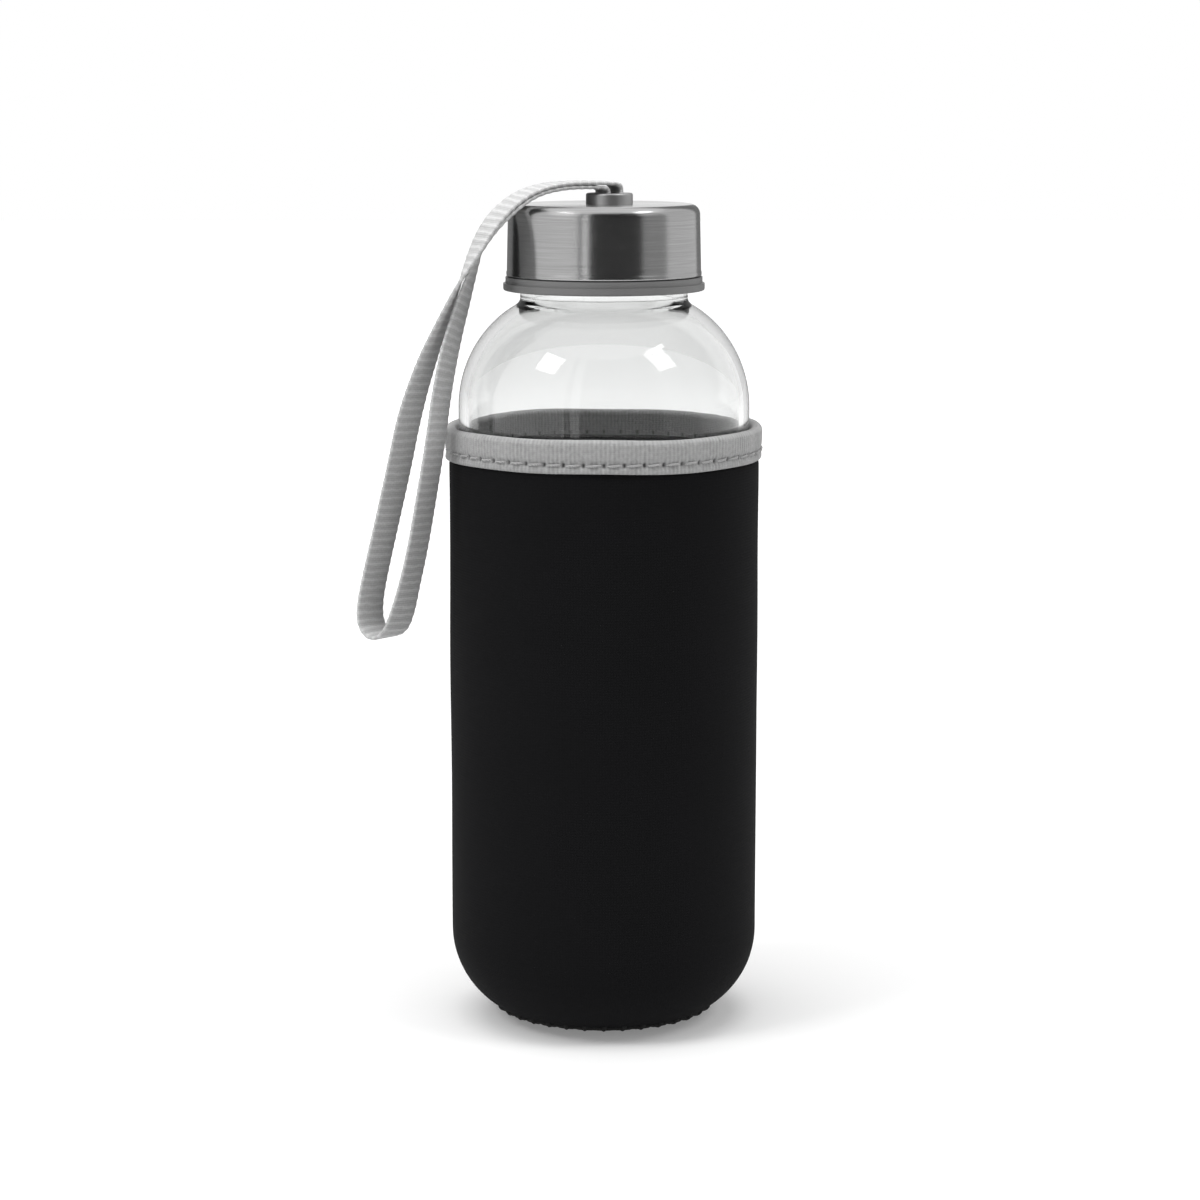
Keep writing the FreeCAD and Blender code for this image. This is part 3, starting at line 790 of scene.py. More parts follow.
@dataclass
class GlassBottle:
    """The bottle: punted floor, straight wall, round shoulder, beaded neck, threaded finish."""

    radius: float
    foot: float
    rim: float
    wall: float = 2.2
    floor: float = 4.0
    corner: float = 17.8
    punt_radius: float = 12.0
    punt_depth: float = 1.2
    shoulder_height: float = 139.5
    shoulder: float = 26.4
    blend: float = 2.0
    inner_blend: float = 3.0
    neck: float = 18.6
    neck_length: float = 2.08
    bead: float = 0.12
    root: float = 17.3
    bore: float = 15.4
    rim_round: float = 0.8
    thread_depth: float = 1.0
    thread_pitch: float = 4.2
    thread_turns: float = 1.1
    thread_foot: float = 2.0
    thread_crest: float = 1.2
    thread_drop: float = 8.8
    thread_fade: float = 0.04
    steps: int = 144

    def blend_point(self, neck: float, shoulder: float, blend: float) -> tuple[float, float]:
        """Height of a neck blend's centre, and the angle at which it meets the shoulder.

        Args:
            neck: radius of the neck or bore.
            shoulder: radius of the shoulder's curve on that face of the glass.
            blend: radius of the neck blend on that face.

        Returns:
            The height in millimetres and the angle in degrees.
        """
        axis = neck + blend - (self.radius - self.shoulder)
        reach = shoulder + blend
        height = self.shoulder_height + math.sqrt(reach ** 2 - axis ** 2)
        return height, math.degrees(math.acos(axis / reach))

    def profile(self) -> list[Point2]:
        """The section of the glass.

        Returns:
            Its points, from the middle of the foot round to the inside floor.
        """
        axis = self.radius - self.shoulder
        outer_rise, outer_angle = self.blend_point(self.neck, self.shoulder, self.blend)
        inner_shoulder = self.shoulder - self.wall
        inner_rise, inner_angle = self.blend_point(self.bore, inner_shoulder, self.inner_blend)
        root_foot = outer_rise + self.neck_length + self.neck - self.root
        inner_corner = self.corner - self.floor
        inside = self.radius - self.wall
        corner_axis = self.foot + self.corner
        lip = self.rim - self.rim_round
        shares = [k / 8 for k in range(9)]
        turns = [math.radians(degrees) for degrees in range(0, 181, 30)]
        return [
            *((self.punt_radius * s, self.foot + self.punt_depth * (1 - s ** 2)) for s in shares),
            *arc((self.radius - self.corner, corner_axis), self.corner, -90, 0, 20),
            *run((self.radius, corner_axis), (self.radius, self.shoulder_height), 8.0),
            *arc((axis, self.shoulder_height), self.shoulder, 0, outer_angle, 22)[1:],
            *arc((self.neck + self.blend, outer_rise), self.blend, 180 + outer_angle, 180, 6)[1:],
            *((self.neck + self.bead * math.sin(a), outer_rise + self.bead * (1 - math.cos(a)))
              for a in turns[1:]),
            (self.neck, outer_rise + self.neck_length),
            (self.root, root_foot),
            *run((self.root, root_foot), (self.root, lip), 0.25),
            *arc((self.root - self.rim_round, lip), self.rim_round, 0, 90, 5),
            *arc((self.bore + self.rim_round, lip), self.rim_round, 90, 180, 5),
            *arc((self.bore + self.inner_blend, inner_rise), self.inner_blend, 180,
                 180 + inner_angle, 8),
            *arc((axis, self.shoulder_height), inner_shoulder, inner_angle, 0, 22)[1:],
            *run((inside, self.shoulder_height), (inside, corner_axis), 8.0),
            *arc((inside - inner_corner, corner_axis), inner_corner, 0, -90, 18)[1:],
            (0, self.foot + self.floor),
        ]

    def thread(self, angle: Array, radius: Array, height: Array) -> Array:
        """How far the right-hand thread stands out of the finish at each vertex.

        Args:
            angle: angle of each vertex round the axis.
            radius: its distance from the axis.
            height: its height.

        Returns:
            The move outward in millimetres.
        """
        turned = np.mod(angle, math.tau) / math.tau
        raised = np.zeros_like(turned)
        slope = (self.thread_foot - self.thread_crest) / 2
        start, end, fade = self.rim - self.thread_drop, self.thread_turns, self.thread_fade
        for lap in range(math.ceil(end)):
            turns = turned + lap
            middle = start + self.thread_pitch * turns
            ridge = np.clip((self.thread_foot / 2 - np.abs(height - middle)) / slope, 0, 1)
            ends = np.clip(turns / fade, 0, 1) * np.clip((end - turns) / fade, 0, 1)
            raised = np.maximum(raised, ridge * ends)
        return np.where(np.abs(radius - self.root) < 0.01, raised * self.thread_depth, 0.0)

    def build(self) -> None:
        """Turn the glass, raise its thread and put it in place of its node."""
        piece = turn_profile("bottle_glass", self.profile(), self.steps)
        push_out(piece, self.thread)
        complete(piece, 40, ClearGlass("clear_glass"), Slot.GLASS, Body.BOTTLE, "glass_bottle")


# ---------------------------------------------------------------- cap and strap


@dataclass
class SteelCap:
    """The drawn steel shell of the cap, with the liner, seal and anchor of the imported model."""

    foot: float
    top: float
    radius: float
    draft: float = 0.4
    corner: float = 2.3
    wall: float = 0.5
    hem_width: float = 0.9
    hem_height: float = 1.2
    hem_groove: float = 0.12
    steps: int = 192

    def profile(self) -> list[Point2]:
        """The section of the shell.

        Returns:
            Its points, from the middle of the underside round to the top.
        """
        upper = self.radius - self.draft
        inner = self.corner - self.wall
        middle = upper - self.corner
        hem_round = self.hem_width / 2
        hem_axis = (self.radius - hem_round, self.foot + hem_round)
        hem_top = self.foot + self.hem_height
        groove = self.radius - self.hem_groove
        side = run((groove, hem_top + 0.5), (upper, self.top - self.corner), 2.0)
        return [
            (0, self.top - self.wall),
            (middle * 0.5, self.top - self.wall),
            *arc((middle, self.top - self.corner), inner, 90, 0, 8),
            (self.radius - self.wall, hem_top + hem_round),
            (self.radius - self.hem_width, hem_top),
            *arc(hem_axis, hem_round, -180, 0, 10),
            (self.radius, hem_top - 0.2),
            (groove, hem_top),
            (groove, hem_top + 0.3),
            *side,
            *arc((middle, self.top - self.corner), self.corner, 0, 90, 12)[1:],
            *run((middle, self.top), (middle * 0.3, self.top), 3.0),
            (0, self.top),
        ]

    def build(self) -> None:
        """Turn the shell and dress the cap's other parts."""
        shell = turn_profile("cap_steel_shell", self.profile(), self.steps)
        complete(shell, 40, BrushedSteel("brushed_steel"), Slot.STEEL, Body.CAP, "cap_shell")
        finishes = (
            ("cap_liner", Moulded("grey_liner", grey(0.20), roughness=0.42), Slot.PLASTIC),
            ("cap_seal", Moulded("silicone", (0.72, 0.72, 0.70), roughness=0.6), Slot.SILICONE),
            ("strap_anchor", Moulded("anchor_metal", grey(0.07), roughness=0.36, grain=0.01,
                                     metallic=1.0), Slot.ANCHOR),
        )
        for node, finish, slot in finishes:
            dress(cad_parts[node], finish)


@dataclass
class WristStrap:
    """The loop of flat webbing that hangs from the cap's anchor.

    The route's points are millimetres in the shared frame, from one slot of the anchor to the
    other, each with the direction in the ground plane, in degrees, across which the strap lies.
    """

    width: float = 8.0
    thickness: float = 0.8
    rib: float = 1.9
    rib_height: float = 0.045
    edge_swell: float = 0.05
    step: float = 0.38
    length: float = 261.0
    slot_offset: float = 1.5
    anchor_turn: float = 20.0
    anchor_middle: float = 1.2

    ROUTE = (
        ((2.6, 0.5, 186.8), -70),
        ((2.7, 0.5, 188.2), -70),
        ((1.8, 0.2, 188.9), -68),
        ((-0.4, -0.6, 189.0), -66),
        ((-4.6, -2.2, 189.1), -64),
        ((-10.4, -4.4, 189.0), -62),
        ((-16.4, -6.8, 187.6), -60),
        ((-21.6, -8.9, 184.2), -60),
        ((-25.6, -10.8, 179.4), -62),
        ((-28.6, -12.2, 173.6), -72),
        ((-31.6, -12.9, 167.6), -92),
        ((-34.8, -12.8, 160.4), -104),
        ((-38.8, -12.0, 151.0), -118),
        ((-42.8, -10.6, 139.0), -127),
        ((-45.4, -9.4, 126.6), -128),
        ((-48.6, -8.4, 113.0), -128),
        ((-51.2, -7.7, 102.0), -129),
        ((-52.4, -7.5, 95.6), -130),
        ((-52.2, -8.2, 91.2), -131),
        ((-49.6, -10.4, 88.6), -131),
        ((-46.6, -12.6, 90.2), -131),
        ((-44.8, -13.4, 94.4), -129),
        ((-43.2, -13.8, 100.6), -122),
        ((-41.2, -14.1, 109.0), -120),
        ((-39.2, -14.4, 120.2), -119),
        ((-37.0, -14.5, 133.0), -118),
        ((-35.6, -14.0, 143.6), -117),
        ((-33.6, -12.5, 154.0), -115),
        ((-30.8, -10.7, 163.6), -108),
        ((-28.4, -9.7, 171.2), -98),
        ((-25.2, -9.9, 178.4), -76),
        ((-21.0, -8.7, 183.4), -62),
        ((-16.2, -6.7, 186.8), -60),
        ((-10.4, -4.4, 188.1), -62),
        ((-4.8, -2.2, 188.2), -64),
        ((-1.4, -0.9, 188.1), -66),
        ((-0.2, -0.5, 187.7), -68),
        ((-0.2, -0.5, 186.8), -70),
    )

    def centreline(self) -> Array:
        """The smooth curve that the route controls.

        Returns:
            Its points in millimetres.
        """
        curve = bpy.data.curves.new("strap_route", "CURVE")
        curve.dimensions = "3D"
        spline = curve.splines.new("NURBS")
        spline.points.add(len(self.ROUTE) - 1)
        for point, (place, _) in zip(spline.points, self.ROUTE):
            point.co = (*(part * MM for part in place), 1.0)
        spline.order_u = 3
        spline.use_endpoint_u = True
        spline.resolution_u = 24
        guide = new_object("strap_route", curve)
        bpy.context.view_layer.update()
        line = bpy.data.meshes.new_from_object(guide)
        rows = np.array([vertex.co for vertex in line.vertices]) / MM
        bpy.data.objects.remove(guide)
        bpy.data.meshes.remove(line)
        return rows

    def stations(self) -> tuple[Array, Array, Array]:
        """Evenly spaced places along the strap.

        Returns:
            The places, their distances along the strap and its lie at each, in radians.
        """
        search, even = 80, 17
        line = self.centreline()
        reach = np.concatenate([[0.0], np.cumsum(np.linalg.norm(np.diff(line, axis=0), axis=1))])
        keys, first = [], 0
        for place, _ in self.ROUTE:
            away = np.linalg.norm(line[first:first + search] - place, axis=1)
            first += int(np.argmin(away))
            keys.append(reach[first])
        along = np.linspace(0, reach[-1], math.ceil(reach[-1] / self.step) + 1)
        places = np.stack([np.interp(along, reach, line[:, axis]) for axis in range(3)], axis=1)
        lie = np.interp(along, keys, [lie for _, lie in self.ROUTE])
        lie = np.convolve(np.pad(lie, even // 2, mode="edge"), np.ones(even) / even, mode="valid")
        return places, along, np.radians(lie)

    def section(self, along: float) -> list[Point2]:
        """The strap's outline, whose thickness and width swell at each rib.

        Args:
            along: distance along the strap in millimetres.

        Returns:
            The across and through place of each point.
        """
        swell = math.cos(math.tau * along / self.rib)
        half = self.width / 2 + self.edge_swell * swell
        thick = self.thickness / 2 + self.rib_height * swell
        side = [(1.0, 0.30), (0.965, 0.82), (0.9, 1.0), (0.6, 0.97), (0.2, 1.0)]
        top = [(-a * half, t * thick) for a, t in side]
        top += [(a * half, t * thick) for a, t in reversed(side)]
        return top + [(a, -t) for a, t in reversed(top)]

    def build_tuck(self) -> Piece:
        """The strap's sewn ends, a U of webbing that runs under the anchor's bar.

        Returns:
            The piece, in place of its node.
        """
        low, high = measured("strap_tuck", 2)
        opening = self.slot_offset - self.thickness / 2
        reach = self.slot_offset + self.thickness / 2
        half = np.array([reach, self.width / 2, self.thickness / 2])
        bpy.ops.mesh.primitive_cube_add(size=1.0)
        piece = bpy.context.active_object
        piece.name = piece.data.name = "strap_sewn_ends"
        set_coordinates(piece, np.sign(coordinates(piece)) * half + (0, 0, self.thickness / 2))
        with editing(piece):
            for side in (opening, -opening):
                select_mesh()
                bpy.ops.mesh.bisect(plane_co=(side * MM, 0, 0), plane_no=(1, 0, 0))
            bpy.ops.mesh.select_mode(type="FACE")
            bpy.ops.mesh.select_all(action="DESELECT")
        for face in piece.data.polygons:
            face.select = face.normal.z > 0.9 and abs(face.center.x) > opening * MM
        rise = (high - low - self.thickness) * MM
        bpy.ops.object.mode_set(mode="EDIT")
        bpy.ops.mesh.extrude_region_move(TRANSFORM_OT_translate={"value": (0, 0, rise)})
        select_mesh()
        bpy.ops.mesh.bevel(offset=0.12 * MM, segments=2, affect="EDGES")
        face_outward()
        bpy.ops.object.mode_set(mode="OBJECT")
        layer = piece.data.uv_layers.new(name="surface")
        rows = coordinates(piece)
        for loop in piece.data.loops:
            x, y, z = rows[loop.vertex_index]
            layer.data[loop.index].uv = (y, x + math.copysign(z, x))
        turn = Matrix.Rotation(math.radians(self.anchor_turn), 4, "Z")
        piece.data.transform(Matrix.Translation((self.anchor_middle * MM, 0, low * MM)) @ turn)
        complete(piece, 50, Webbing("grey_webbing"), Slot.WEBBING, Body.CAP, "strap_tuck")
        return piece

    def build(self) -> None:
        places, along, lie = self.stations()
        tangents = np.gradient(places, axis=0)
        tangents /= np.linalg.norm(tangents, axis=1)[:, None]
        across = np.stack([np.cos(lie), np.sin(lie), np.zeros_like(lie)], axis=1)
        across -= tangents * np.sum(across * tangents, axis=1)[:, None]
        across /= np.linalg.norm(across, axis=1)[:, None]
        through = np.cross(tangents, across)
        points, maps = [], []
        for k, distance in enumerate(along):
            for a, t in self.section(float(distance)):
                points.append(tuple((places[k] + across[k] * a + through[k] * t) * MM))
                maps.append((a, distance))
        ring = len(self.section(0.0))
        faces = [
            (k + j, k + (j + 1) % ring, k + ring + (j + 1) % ring, k + ring + j)
            for k in range(0, len(points) - ring, ring) for j in range(ring)
        ]
        faces += [tuple(range(ring))[::-1], tuple(range(len(points) - ring, len(points)))]
        mesh = bpy.data.meshes.new("strap_webbing")
        mesh.from_pydata(points, [], faces)
        piece = new_object("strap_webbing", mesh)
        layer = mesh.uv_layers.new(name="surface")
        for loop in mesh.loops:
            layer.data[loop.index].uv = maps[loop.vertex_index]
        with editing(piece):
            face_outward()
        complete(piece, 60, Webbing("grey_webbing"), Slot.WEBBING, Body.CAP, "wrist_strap")
        self.build_tuck()


# ---------------------------------------------------------------- sleeve


@dataclass
class Sleeve:
    """The sewn sleeve: foam-fabric body and base, ribbed binding, seams and stitching."""

    outer: float
    bore: float
    fabric_top: float
    binding_bore: float
    binding_outer: float
    binding_foot: float
    binding_top: float
    corner: float = 20.0
    seam_radius: float = 24.5
    pinch: float = 0.35
    stitch_rise: float = 2.0
    stitch_pitch: float = 4.45
    rib: float = 1.05
    tape_rib_height: float = 0.09
    channel_width: float = 0.7
    channel_depth: float = 0.34
    needle_depth: float = 0.6
    lap_height: float = 0.28
    foam_swell: float = 0.22
    steps: int = 160

    def seam_lean(self) -> tuple[float, float]:
        """Outward and downward parts of the fabric's direction at the base seam."""
        outward = (self.seam_radius - (self.outer - self.corner)) / self.corner
        return outward, math.sqrt(1 - outward ** 2)

    def seam_angle(self) -> float:
        """Angle of the base seam on the corner's arc, in degrees below the outward direction."""
        return math.degrees(math.asin(self.seam_lean()[1]))

    def softness(self, angle: Array, radius: Array, height: Array) -> Array:
        """Slow swells of the foam, which fade out towards its edges and leave the bore alone.

        Args:
            angle: angle of each vertex round the axis.
            radius: its distance from the axis.
            height: its height.

        Returns:
            The move outward in millimetres.
        """
        around, up = 1.5, 34.0
        swell = np.array([
            noise.noise(Vector((math.cos(a) * around, math.sin(a) * around, z / up)))
            for a, z in zip(angle, height)
        ])
        fade = np.clip((height - 8) / 20, 0, 1) * np.clip((self.binding_foot - height) / 10, 0, 1)
        outside = radius > (self.bore + self.outer) / 2
        return np.where(outside, self.foam_swell * swell * fade, 0.0)

    def finish_foam(self, piece: Piece, reference: float, node: str) -> None:
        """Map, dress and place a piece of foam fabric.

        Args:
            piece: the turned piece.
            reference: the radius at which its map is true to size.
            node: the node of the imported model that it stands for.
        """
        wrap_uv(piece, reference)
        complete(piece, 50, KnitFoam("knit_foam"), Slot.NEOPRENE, Body.SLEEVE, node)

    def build_body(self) -> None:
        """The foam-fabric tube with its rounded bottom corner."""
        axis = (self.outer - self.corner, self.corner)
        inner = self.corner - (self.outer - self.bore)
        angle = self.seam_angle()
        pinched = self.outer - self.pinch
        upper_bore = self.binding_bore + 0.8
        tape = self.binding_foot
        profile = [
            *arc(axis, self.corner, 2 - angle, 0, 22),
            *run((self.outer, self.corner), (self.outer, tape - 1.4), 3.0),
            (self.outer - 0.1, tape - 0.6),
            (pinched, tape + 0.2),
            (pinched, self.fabric_top),
            (upper_bore, self.fabric_top),
            (upper_bore, tape + 0.6),
            (self.bore, tape - 0.4),
            *run((self.bore, tape - 0.4), (self.bore, self.corner), 6.0),
            *arc(axis, inner, 0, 2 - angle, 18)[1:],
        ]
        piece = turn_profile("sleeve_foam_body", profile, self.steps)
        push_out(piece, self.softness)
        self.finish_foam(piece, self.outer, "sleeve_body")

    def build_base(self) -> None:
        """The round base panel, flat in the middle."""
        axis = (self.outer - self.corner, self.corner)
        wall = self.outer - self.bore
        angle = self.seam_angle()
        profile = [
            (0, 0),
            *run((0, 0), (axis[0], 0), 3.0),
            *arc(axis, self.corner, -90, -angle - 2, 10)[1:],
            *arc(axis, self.corner - wall, -angle - 2, -90, 10),
            *run((axis[0], wall), (0, wall), 5.0),
        ]
        piece = turn_profile("sleeve_foam_base", profile, self.steps)
        self.finish_foam(piece, self.seam_radius, "sleeve_base")

    def build_binding(self) -> None:
        """The ribbed tape folded over the top edge, pulled in along its stitching."""
        outer, foot, bore = self.binding_outer, self.binding_foot, self.binding_bore
        fold = (outer - bore) / 2
        fold_axis = (outer - fold, self.binding_top - fold)
        inner_foot = foot + 1.5
        tape_in, tape_out = bore + 0.7, self.outer - self.pinch + 0.1
        profile = [
            (tape_out, foot),
            (outer - 0.45, foot),
            (outer - 0.15, foot + 0.25),
            *run((outer - 0.15, foot + 0.25), (outer, fold_axis[1]), 0.4),
            *arc(fold_axis, fold, 0, 180, 14)[1:],
            *run((bore, fold_axis[1]), (bore, inner_foot), 1.6),
            (tape_in, inner_foot),
            (tape_in, self.fabric_top + 0.1),
            (tape_out, self.fabric_top + 0.1),
        ]
        ribs = round(math.tau * outer / self.rib)
        piece = turn_profile("sleeve_binding_tape", profile, ribs * 4)
        stitches = self.stitch_count()
        line = foot + self.stitch_rise
        lap_middle, lap_half, lap_slope = 3.02, 0.11, 60

        def shape(angle: Array, radius: Array, height: Array) -> Array:
            """Ribs, the channel of the stitching, its needle holes and the tape's lapped ends.

            Args:
                angle: angle of each vertex round the axis.
                radius: its distance from the axis.
                height: its height.

            Returns:
                The move outward in millimetres.
            """
            facing = np.clip((radius - fold_axis[0]) / fold, 0, 1)
            ribbing = self.tape_rib_height * np.cos(angle * ribs) * facing
            channel = np.exp(-((height - line) / self.channel_width) ** 2)
            pull = self.channel_depth + self.needle_depth * np.sin(angle * stitches / 2) ** 24
            beyond = np.abs(np.abs(angle) - lap_middle) - lap_half
            lap = self.lap_height / (1 + np.exp(beyond * lap_slope))
            return ribbing + facing * (lap - channel * pull - 0.1)

        push_out(piece, shape)
        rows = coordinates(piece)
        around = np.arctan2(rows[:, 1], rows[:, 0])
        rows[:, 2] += 0.16 * np.sin(3 * around + 0.8) + 0.1 * np.sin(7 * around)
        set_coordinates(piece, rows)
        wrap_uv(piece, outer)
        finish = RibbedTape("ribbed_tape", row=line, pitch=math.tau * outer / stitches)
        complete(piece, 60, finish, Slot.TAPE, Body.SLEEVE, "sleeve_binding")

    def stitch_count(self) -> int:
        """Number of stitches round the binding."""
        return round(math.tau * self.binding_outer / self.stitch_pitch)

    def sew(self, name: str, stitches: list[tuple[Piece, Matrix]], thread: Thread,
            slot: Slot, *nodes: str) -> None:
        """Make one piece of a row of stitches.

        Args:
            name: name of the piece.
            stitches: the stitch to copy and its place, for each copy.
            thread: the finish of the thread.
            slot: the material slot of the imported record.
            nodes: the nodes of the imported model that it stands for.
        """
        copies = [placed_copy(pattern, place) for pattern, place in stitches]
        for pattern in dict.fromkeys(pattern for pattern, _ in stitches):
            bpy.data.objects.remove(pattern)
        complete(join(name, copies), 60, thread, slot, Body.SLEEVE, *nodes)

    def build_stitching(self) -> None:
        """The row of lockstitch round the binding, and its back on the inner face."""
        count = self.stitch_count()
        radius, inner_radius = self.binding_outer - 0.12, self.binding_bore + 0.08
        share, lean, inner_rise = 0.72, 0.09, 0.2
        height = (self.binding_foot + self.stitch_rise) * MM
        front = stitch(length=math.tau * radius / count * share, radius=0.27, bow=0.42)
        back = stitch(length=math.tau * self.binding_bore / count * share, radius=0.2, bow=0.2)
        stitches = []
        for k in range(count):
            angle = math.tau * k / count
            outward = Vector((math.cos(angle), math.sin(angle), 0))
            place = outward * radius * MM + Vector((0, 0, height))
            inner_place = outward * inner_radius * MM + Vector((0, 0, height + inner_rise * MM))
            along = Vector((-outward.y, outward.x, lean))
            stitches += [(front, frame_at(place, along, outward)),
                         (back, frame_at(inner_place, -along, -outward))]
        thread = Thread("pale_thread", grey(0.50))
        self.sew("binding_lockstitch", stitches, thread, Slot.STITCH, "binding_stitch")

    def build_base_seam(self) -> None:
        """The overlocked seam between the body and the base, as loops of thread across it."""
        outward, downward = self.seam_lean()
        height = self.corner - self.corner * downward
        count, lap, lift = 36, 1.2, 0.1 * MM
        loop = stitch(length=3.4, radius=0.6, bow=0.75)
        cord = stitch(length=math.tau * self.seam_radius / count * lap, radius=0.5, bow=0.12)
        stitches = []
        for k in range(count):
            angle = math.tau * k / count
            radial = Vector((math.cos(angle), math.sin(angle), 0))
            normal = radial * outward + Vector((0, 0, -downward))
            meridian = radial * downward + Vector((0, 0, outward))
            place = radial * self.seam_radius * MM + Vector((0, 0, height * MM))
            around = Vector((-radial.y, radial.x, 0))
            lying = frame_at(place + normal * lift, meridian + around * 0.25, normal)
            stitches += [(loop, lying), (cord, frame_at(place, around, normal))]
        self.sew("base_overlock", stitches, self.black_thread(), Slot.SEAM, "base_seam")

    def build_side_seam(self) -> None:
        """The flat seam that closes the tube, up the back of the sleeve."""
        first, last, pitch, slant = self.corner, self.binding_foot - 1.5, 2.1, 0.55
        pattern = stitch(length=3.4, radius=0.19, bow=0.12)
        stitches = []
        for k in range(int((last - first) / pitch)):
            place = Vector((0, (self.outer + 0.05) * MM, (first + pitch * (k + 0.5)) * MM))
            for lean in (slant, -slant):
                stitches.append((pattern, frame_at(place, Vector((1, 0, lean)), Vector((0, 1, 0)))))
        self.sew("side_flat_seam", stitches, self.black_thread(), Slot.SEAM)

    def black_thread(self) -> Thread:
        """The thread of the body's seams."""
        return Thread("black_thread", grey(0.014))

    def build(self) -> None:
        """Build every part of the sleeve."""
        self.build_body()
        self.build_base()
        self.build_binding()
        self.build_stitching()
        self.build_base_seam()
        self.build_side_seam()


# ---------------------------------------------------------------- studio


@dataclass(frozen=True)
class Card:
    """A flag or reflector that only shiny surfaces see, at an angle round the object.

    The angle is in degrees, counted from the front towards +X.
    """

    name: str
    start: float
    end: float
    grey: float
    radius: float = 0.36
    low: float = 0.01
    high: float = 0.6

    def build(self) -> None:
        """A curved card round the object's axis."""
        steps = max(2, round((self.end - self.start) / 4))
        points = []
        for k in range(steps + 1):
            angle = math.radians(self.start + (self.end - self.start) * k / steps - 90)
            across, depth = self.radius * math.cos(angle), self.radius * math.sin(angle)
            points += [(across, depth, self.low), (across, depth, self.high)]
        faces = [(2 * k, 2 * k + 2, 2 * k + 3, 2 * k + 1) for k in range(steps)]
        mesh = bpy.data.meshes.new(self.name)
        mesh.from_pydata(points, [], faces)
        card = new_object(self.name, mesh)
        material = bpy.data.materials.new(self.name)
        nodes = Nodes(material)
        glow = nodes.add("Emission", {"Color": (*grey(self.grey), 1), "Strength": 1.0})
        nodes.set(nodes.tree.nodes["Material Output"].inputs["Surface"], glow.outputs[0])
        mesh.materials.append(material)
        card.visible_camera = False
        card.visible_diffuse = False
        card.visible_transmission = False
        card.visible_shadow = False


@dataclass(frozen=True)
class SoftLight:
    """A rectangular soft light aimed at a point; it may be hidden from glass and shiny surfaces."""

    name: str
    place: Point3
    target: Point3
    size: Point2
    power: float
    shows: bool = True

    def build(self) -> None:
        """Add the light."""
        lamp = bpy.data.lights.new(self.name, "AREA")
        lamp.shape = "RECTANGLE"
        lamp.size, lamp.size_y = self.size
        lamp.energy = self.power
        light = new_object(self.name, lamp)
        light.location = self.place
        aim = Vector(self.target) - Vector(self.place)
        light.rotation_euler = aim.to_track_quat("-Z", "Y").to_euler()
        light.visible_glossy = self.shows
        light.visible_transmission = self.shows


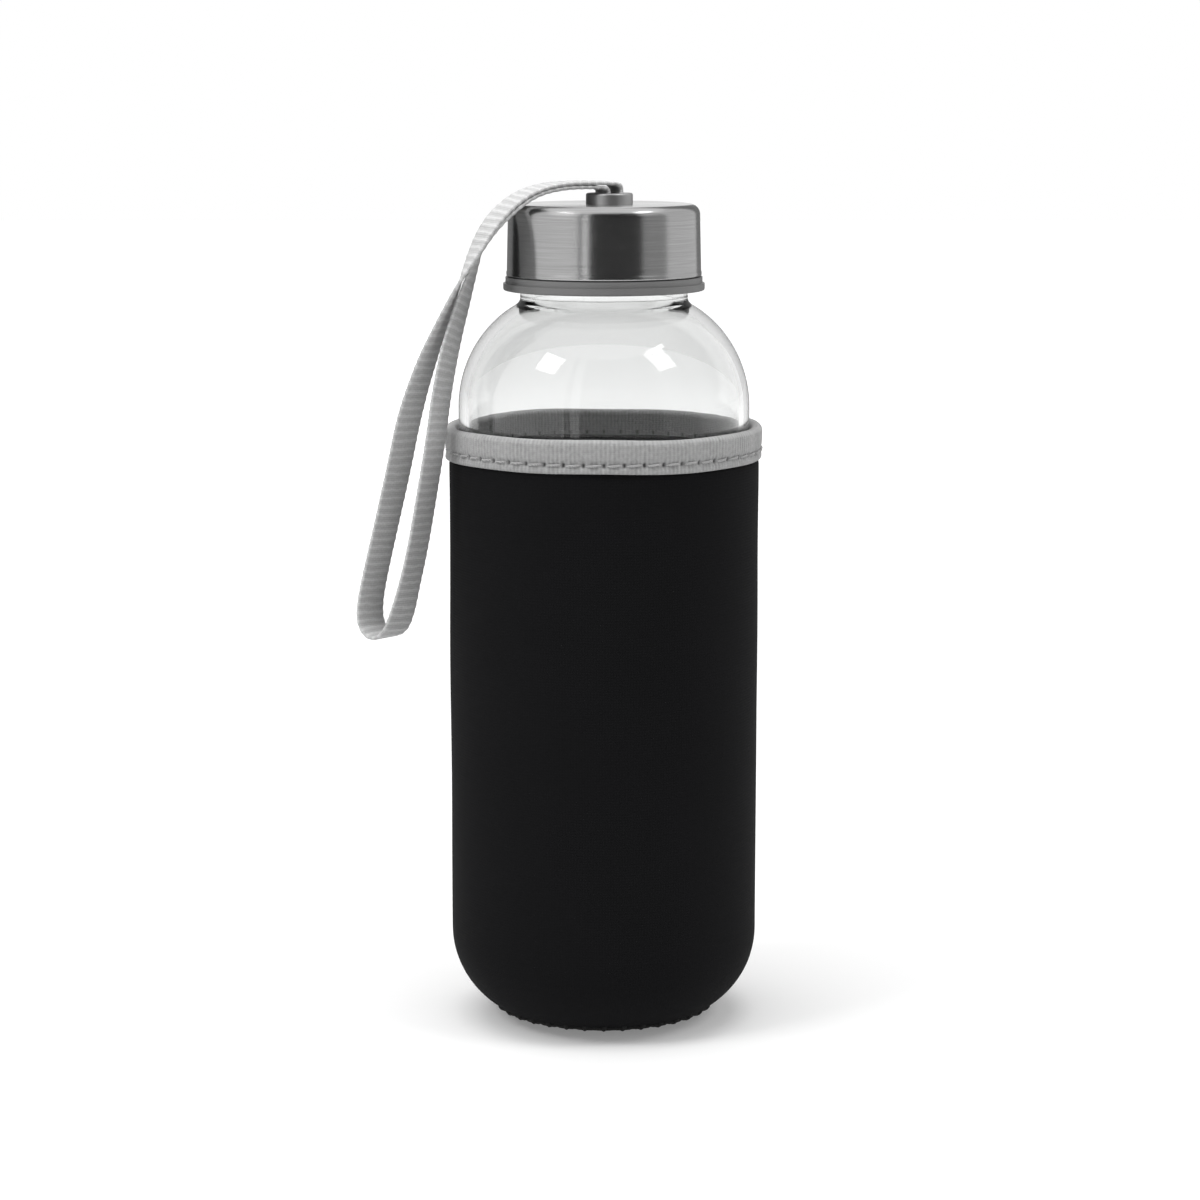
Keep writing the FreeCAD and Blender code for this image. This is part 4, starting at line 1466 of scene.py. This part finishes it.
@dataclass(frozen=True)
class Studio:
    """Pale floor, white surround, soft lights, reflector cards and the camera."""

    floor_size: float = 8.0
    floor_grey: float = 0.80
    near: float = 0.4
    far: float = 1.2
    near_lift: float = 0.21
    far_lift: float = 0.78
    surround: float = 0.36
    camera_distance: float = 0.700
    camera_height: float = 0.2121
    camera_pitch: float = 9.46
    lens: float = 94.2
    sensor: float = 36.0
    shift: float = -0.0033

    LIGHTS = (
        SoftLight("top_light", (-0.1, 0.0, 1.15), (0, 0, 0.1), (1.1, 1.1), 11.0, shows=False),
        SoftLight("left_light", (-0.86, -0.5, 1.1), (0, 0, 0.12), (0.44, 0.4), 5.6),
        SoftLight("right_light", (0.92, -0.4, 1.2), (0, 0, 0.12), (0.44, 0.5), 4.4),
    )
    CARDS = (
        Card("left_edge_flag", -172, -136, 0.22),
        Card("left_flag", -136, -94, 0.02),
        Card("left_pale", -94, -32, 0.80),
        Card("front_line", -30, -25, 0.10),
        Card("front_flag", -18, 45, 0.035),
        Card("right_grey", 45, 78, 0.34),
        Card("right_pale", 78, 140, 0.72),
        Card("right_edge_flag", 140, 172, 0.22),
    )

    def build_floor(self) -> None:
        """A floor that keeps the object's shadow and turns white with distance."""
        bpy.ops.mesh.primitive_plane_add(size=self.floor_size, location=(0, 0, 0))
        floor = bpy.context.active_object
        floor.name = "studio_floor"
        material = bpy.data.materials.new("studio_floor")
        nodes = Nodes(material)
        seen = nodes.seen()
        reach = nodes.add("VectorMath", {0: nodes.place()}, operation="LENGTH").outputs["Value"]
        lift = nodes.add("MapRange", {"Value": reach, "From Min": self.near, "From Max": self.far,
                                      "To Min": self.near_lift, "To Max": self.far_lift})
        nodes.settle(Base_Color=(*grey(self.floor_grey), 1), Roughness=0.9,
                     Specular_IOR_Level=0.1, Emission_Color=(1, 1, 1, 1),
                     Emission_Strength=nodes.times(seen, lift.outputs["Result"]))
        floor.data.materials.append(material)

    def build_world(self) -> None:
        """White where it is seen or reflected, and a soft grey as light."""
        world = bpy.data.worlds.new("studio_world")
        bpy.context.scene.world = world
        nodes = Nodes(world)
        levels = {"Value": nodes.seen(), "To Min": self.surround, "To Max": 1.0}
        strength = nodes.add("MapRange", levels).outputs["Result"]
        background = nodes.tree.nodes["Background"].inputs
        background["Color"].default_value = (1, 1, 1, 1)
        nodes.set(background["Strength"], strength)

    def build_camera(self) -> None:
        """The camera, a little above the shoulder and looking slightly down."""
        lens = bpy.data.cameras.new("camera")
        lens.lens = self.lens
        lens.sensor_width = self.sensor
        lens.shift_x = self.shift
        camera = new_object("camera", lens)
        camera.location = (0, -self.camera_distance, self.camera_height)
        camera.rotation_euler = (math.radians(90 - self.camera_pitch), 0, 0)
        bpy.context.scene.camera = camera

    def build(self) -> None:
        """Build the studio and set the plain view transform."""
        bpy.context.scene.view_settings.view_transform = "Standard"
        self.build_floor()
        self.build_world()
        self.build_camera()
        for item in self.LIGHTS + self.CARDS:
            item.build()
        LOG.info("studio: %d lights and %d cards", len(self.LIGHTS), len(self.CARDS))


def main() -> None:
    """Build every piece, then the studio."""
    logging.basicConfig(level=logging.INFO, format="%(name)s %(message)s")
    radius = measured("glass_bottle")[1]
    foot, rim = measured("glass_bottle", 2)
    GlassBottle(radius=radius, foot=foot, rim=rim).build()
    cap_foot, cap_top = measured("cap_shell", 2)
    SteelCap(foot=cap_foot, top=cap_top, radius=measured("cap_shell")[1]).build()
    WristStrap().build()
    binding_foot, binding_top = measured("sleeve_binding", 2)
    Sleeve(
        outer=measured("sleeve_body")[1], bore=radius + 0.3,
        fabric_top=measured("sleeve_body", 2)[1],
        binding_bore=radius + 0.35, binding_outer=measured("sleeve_binding")[1],
        binding_foot=binding_foot, binding_top=binding_top,
    ).build()
    Studio().build()


if __name__ == "__main__":
    main()
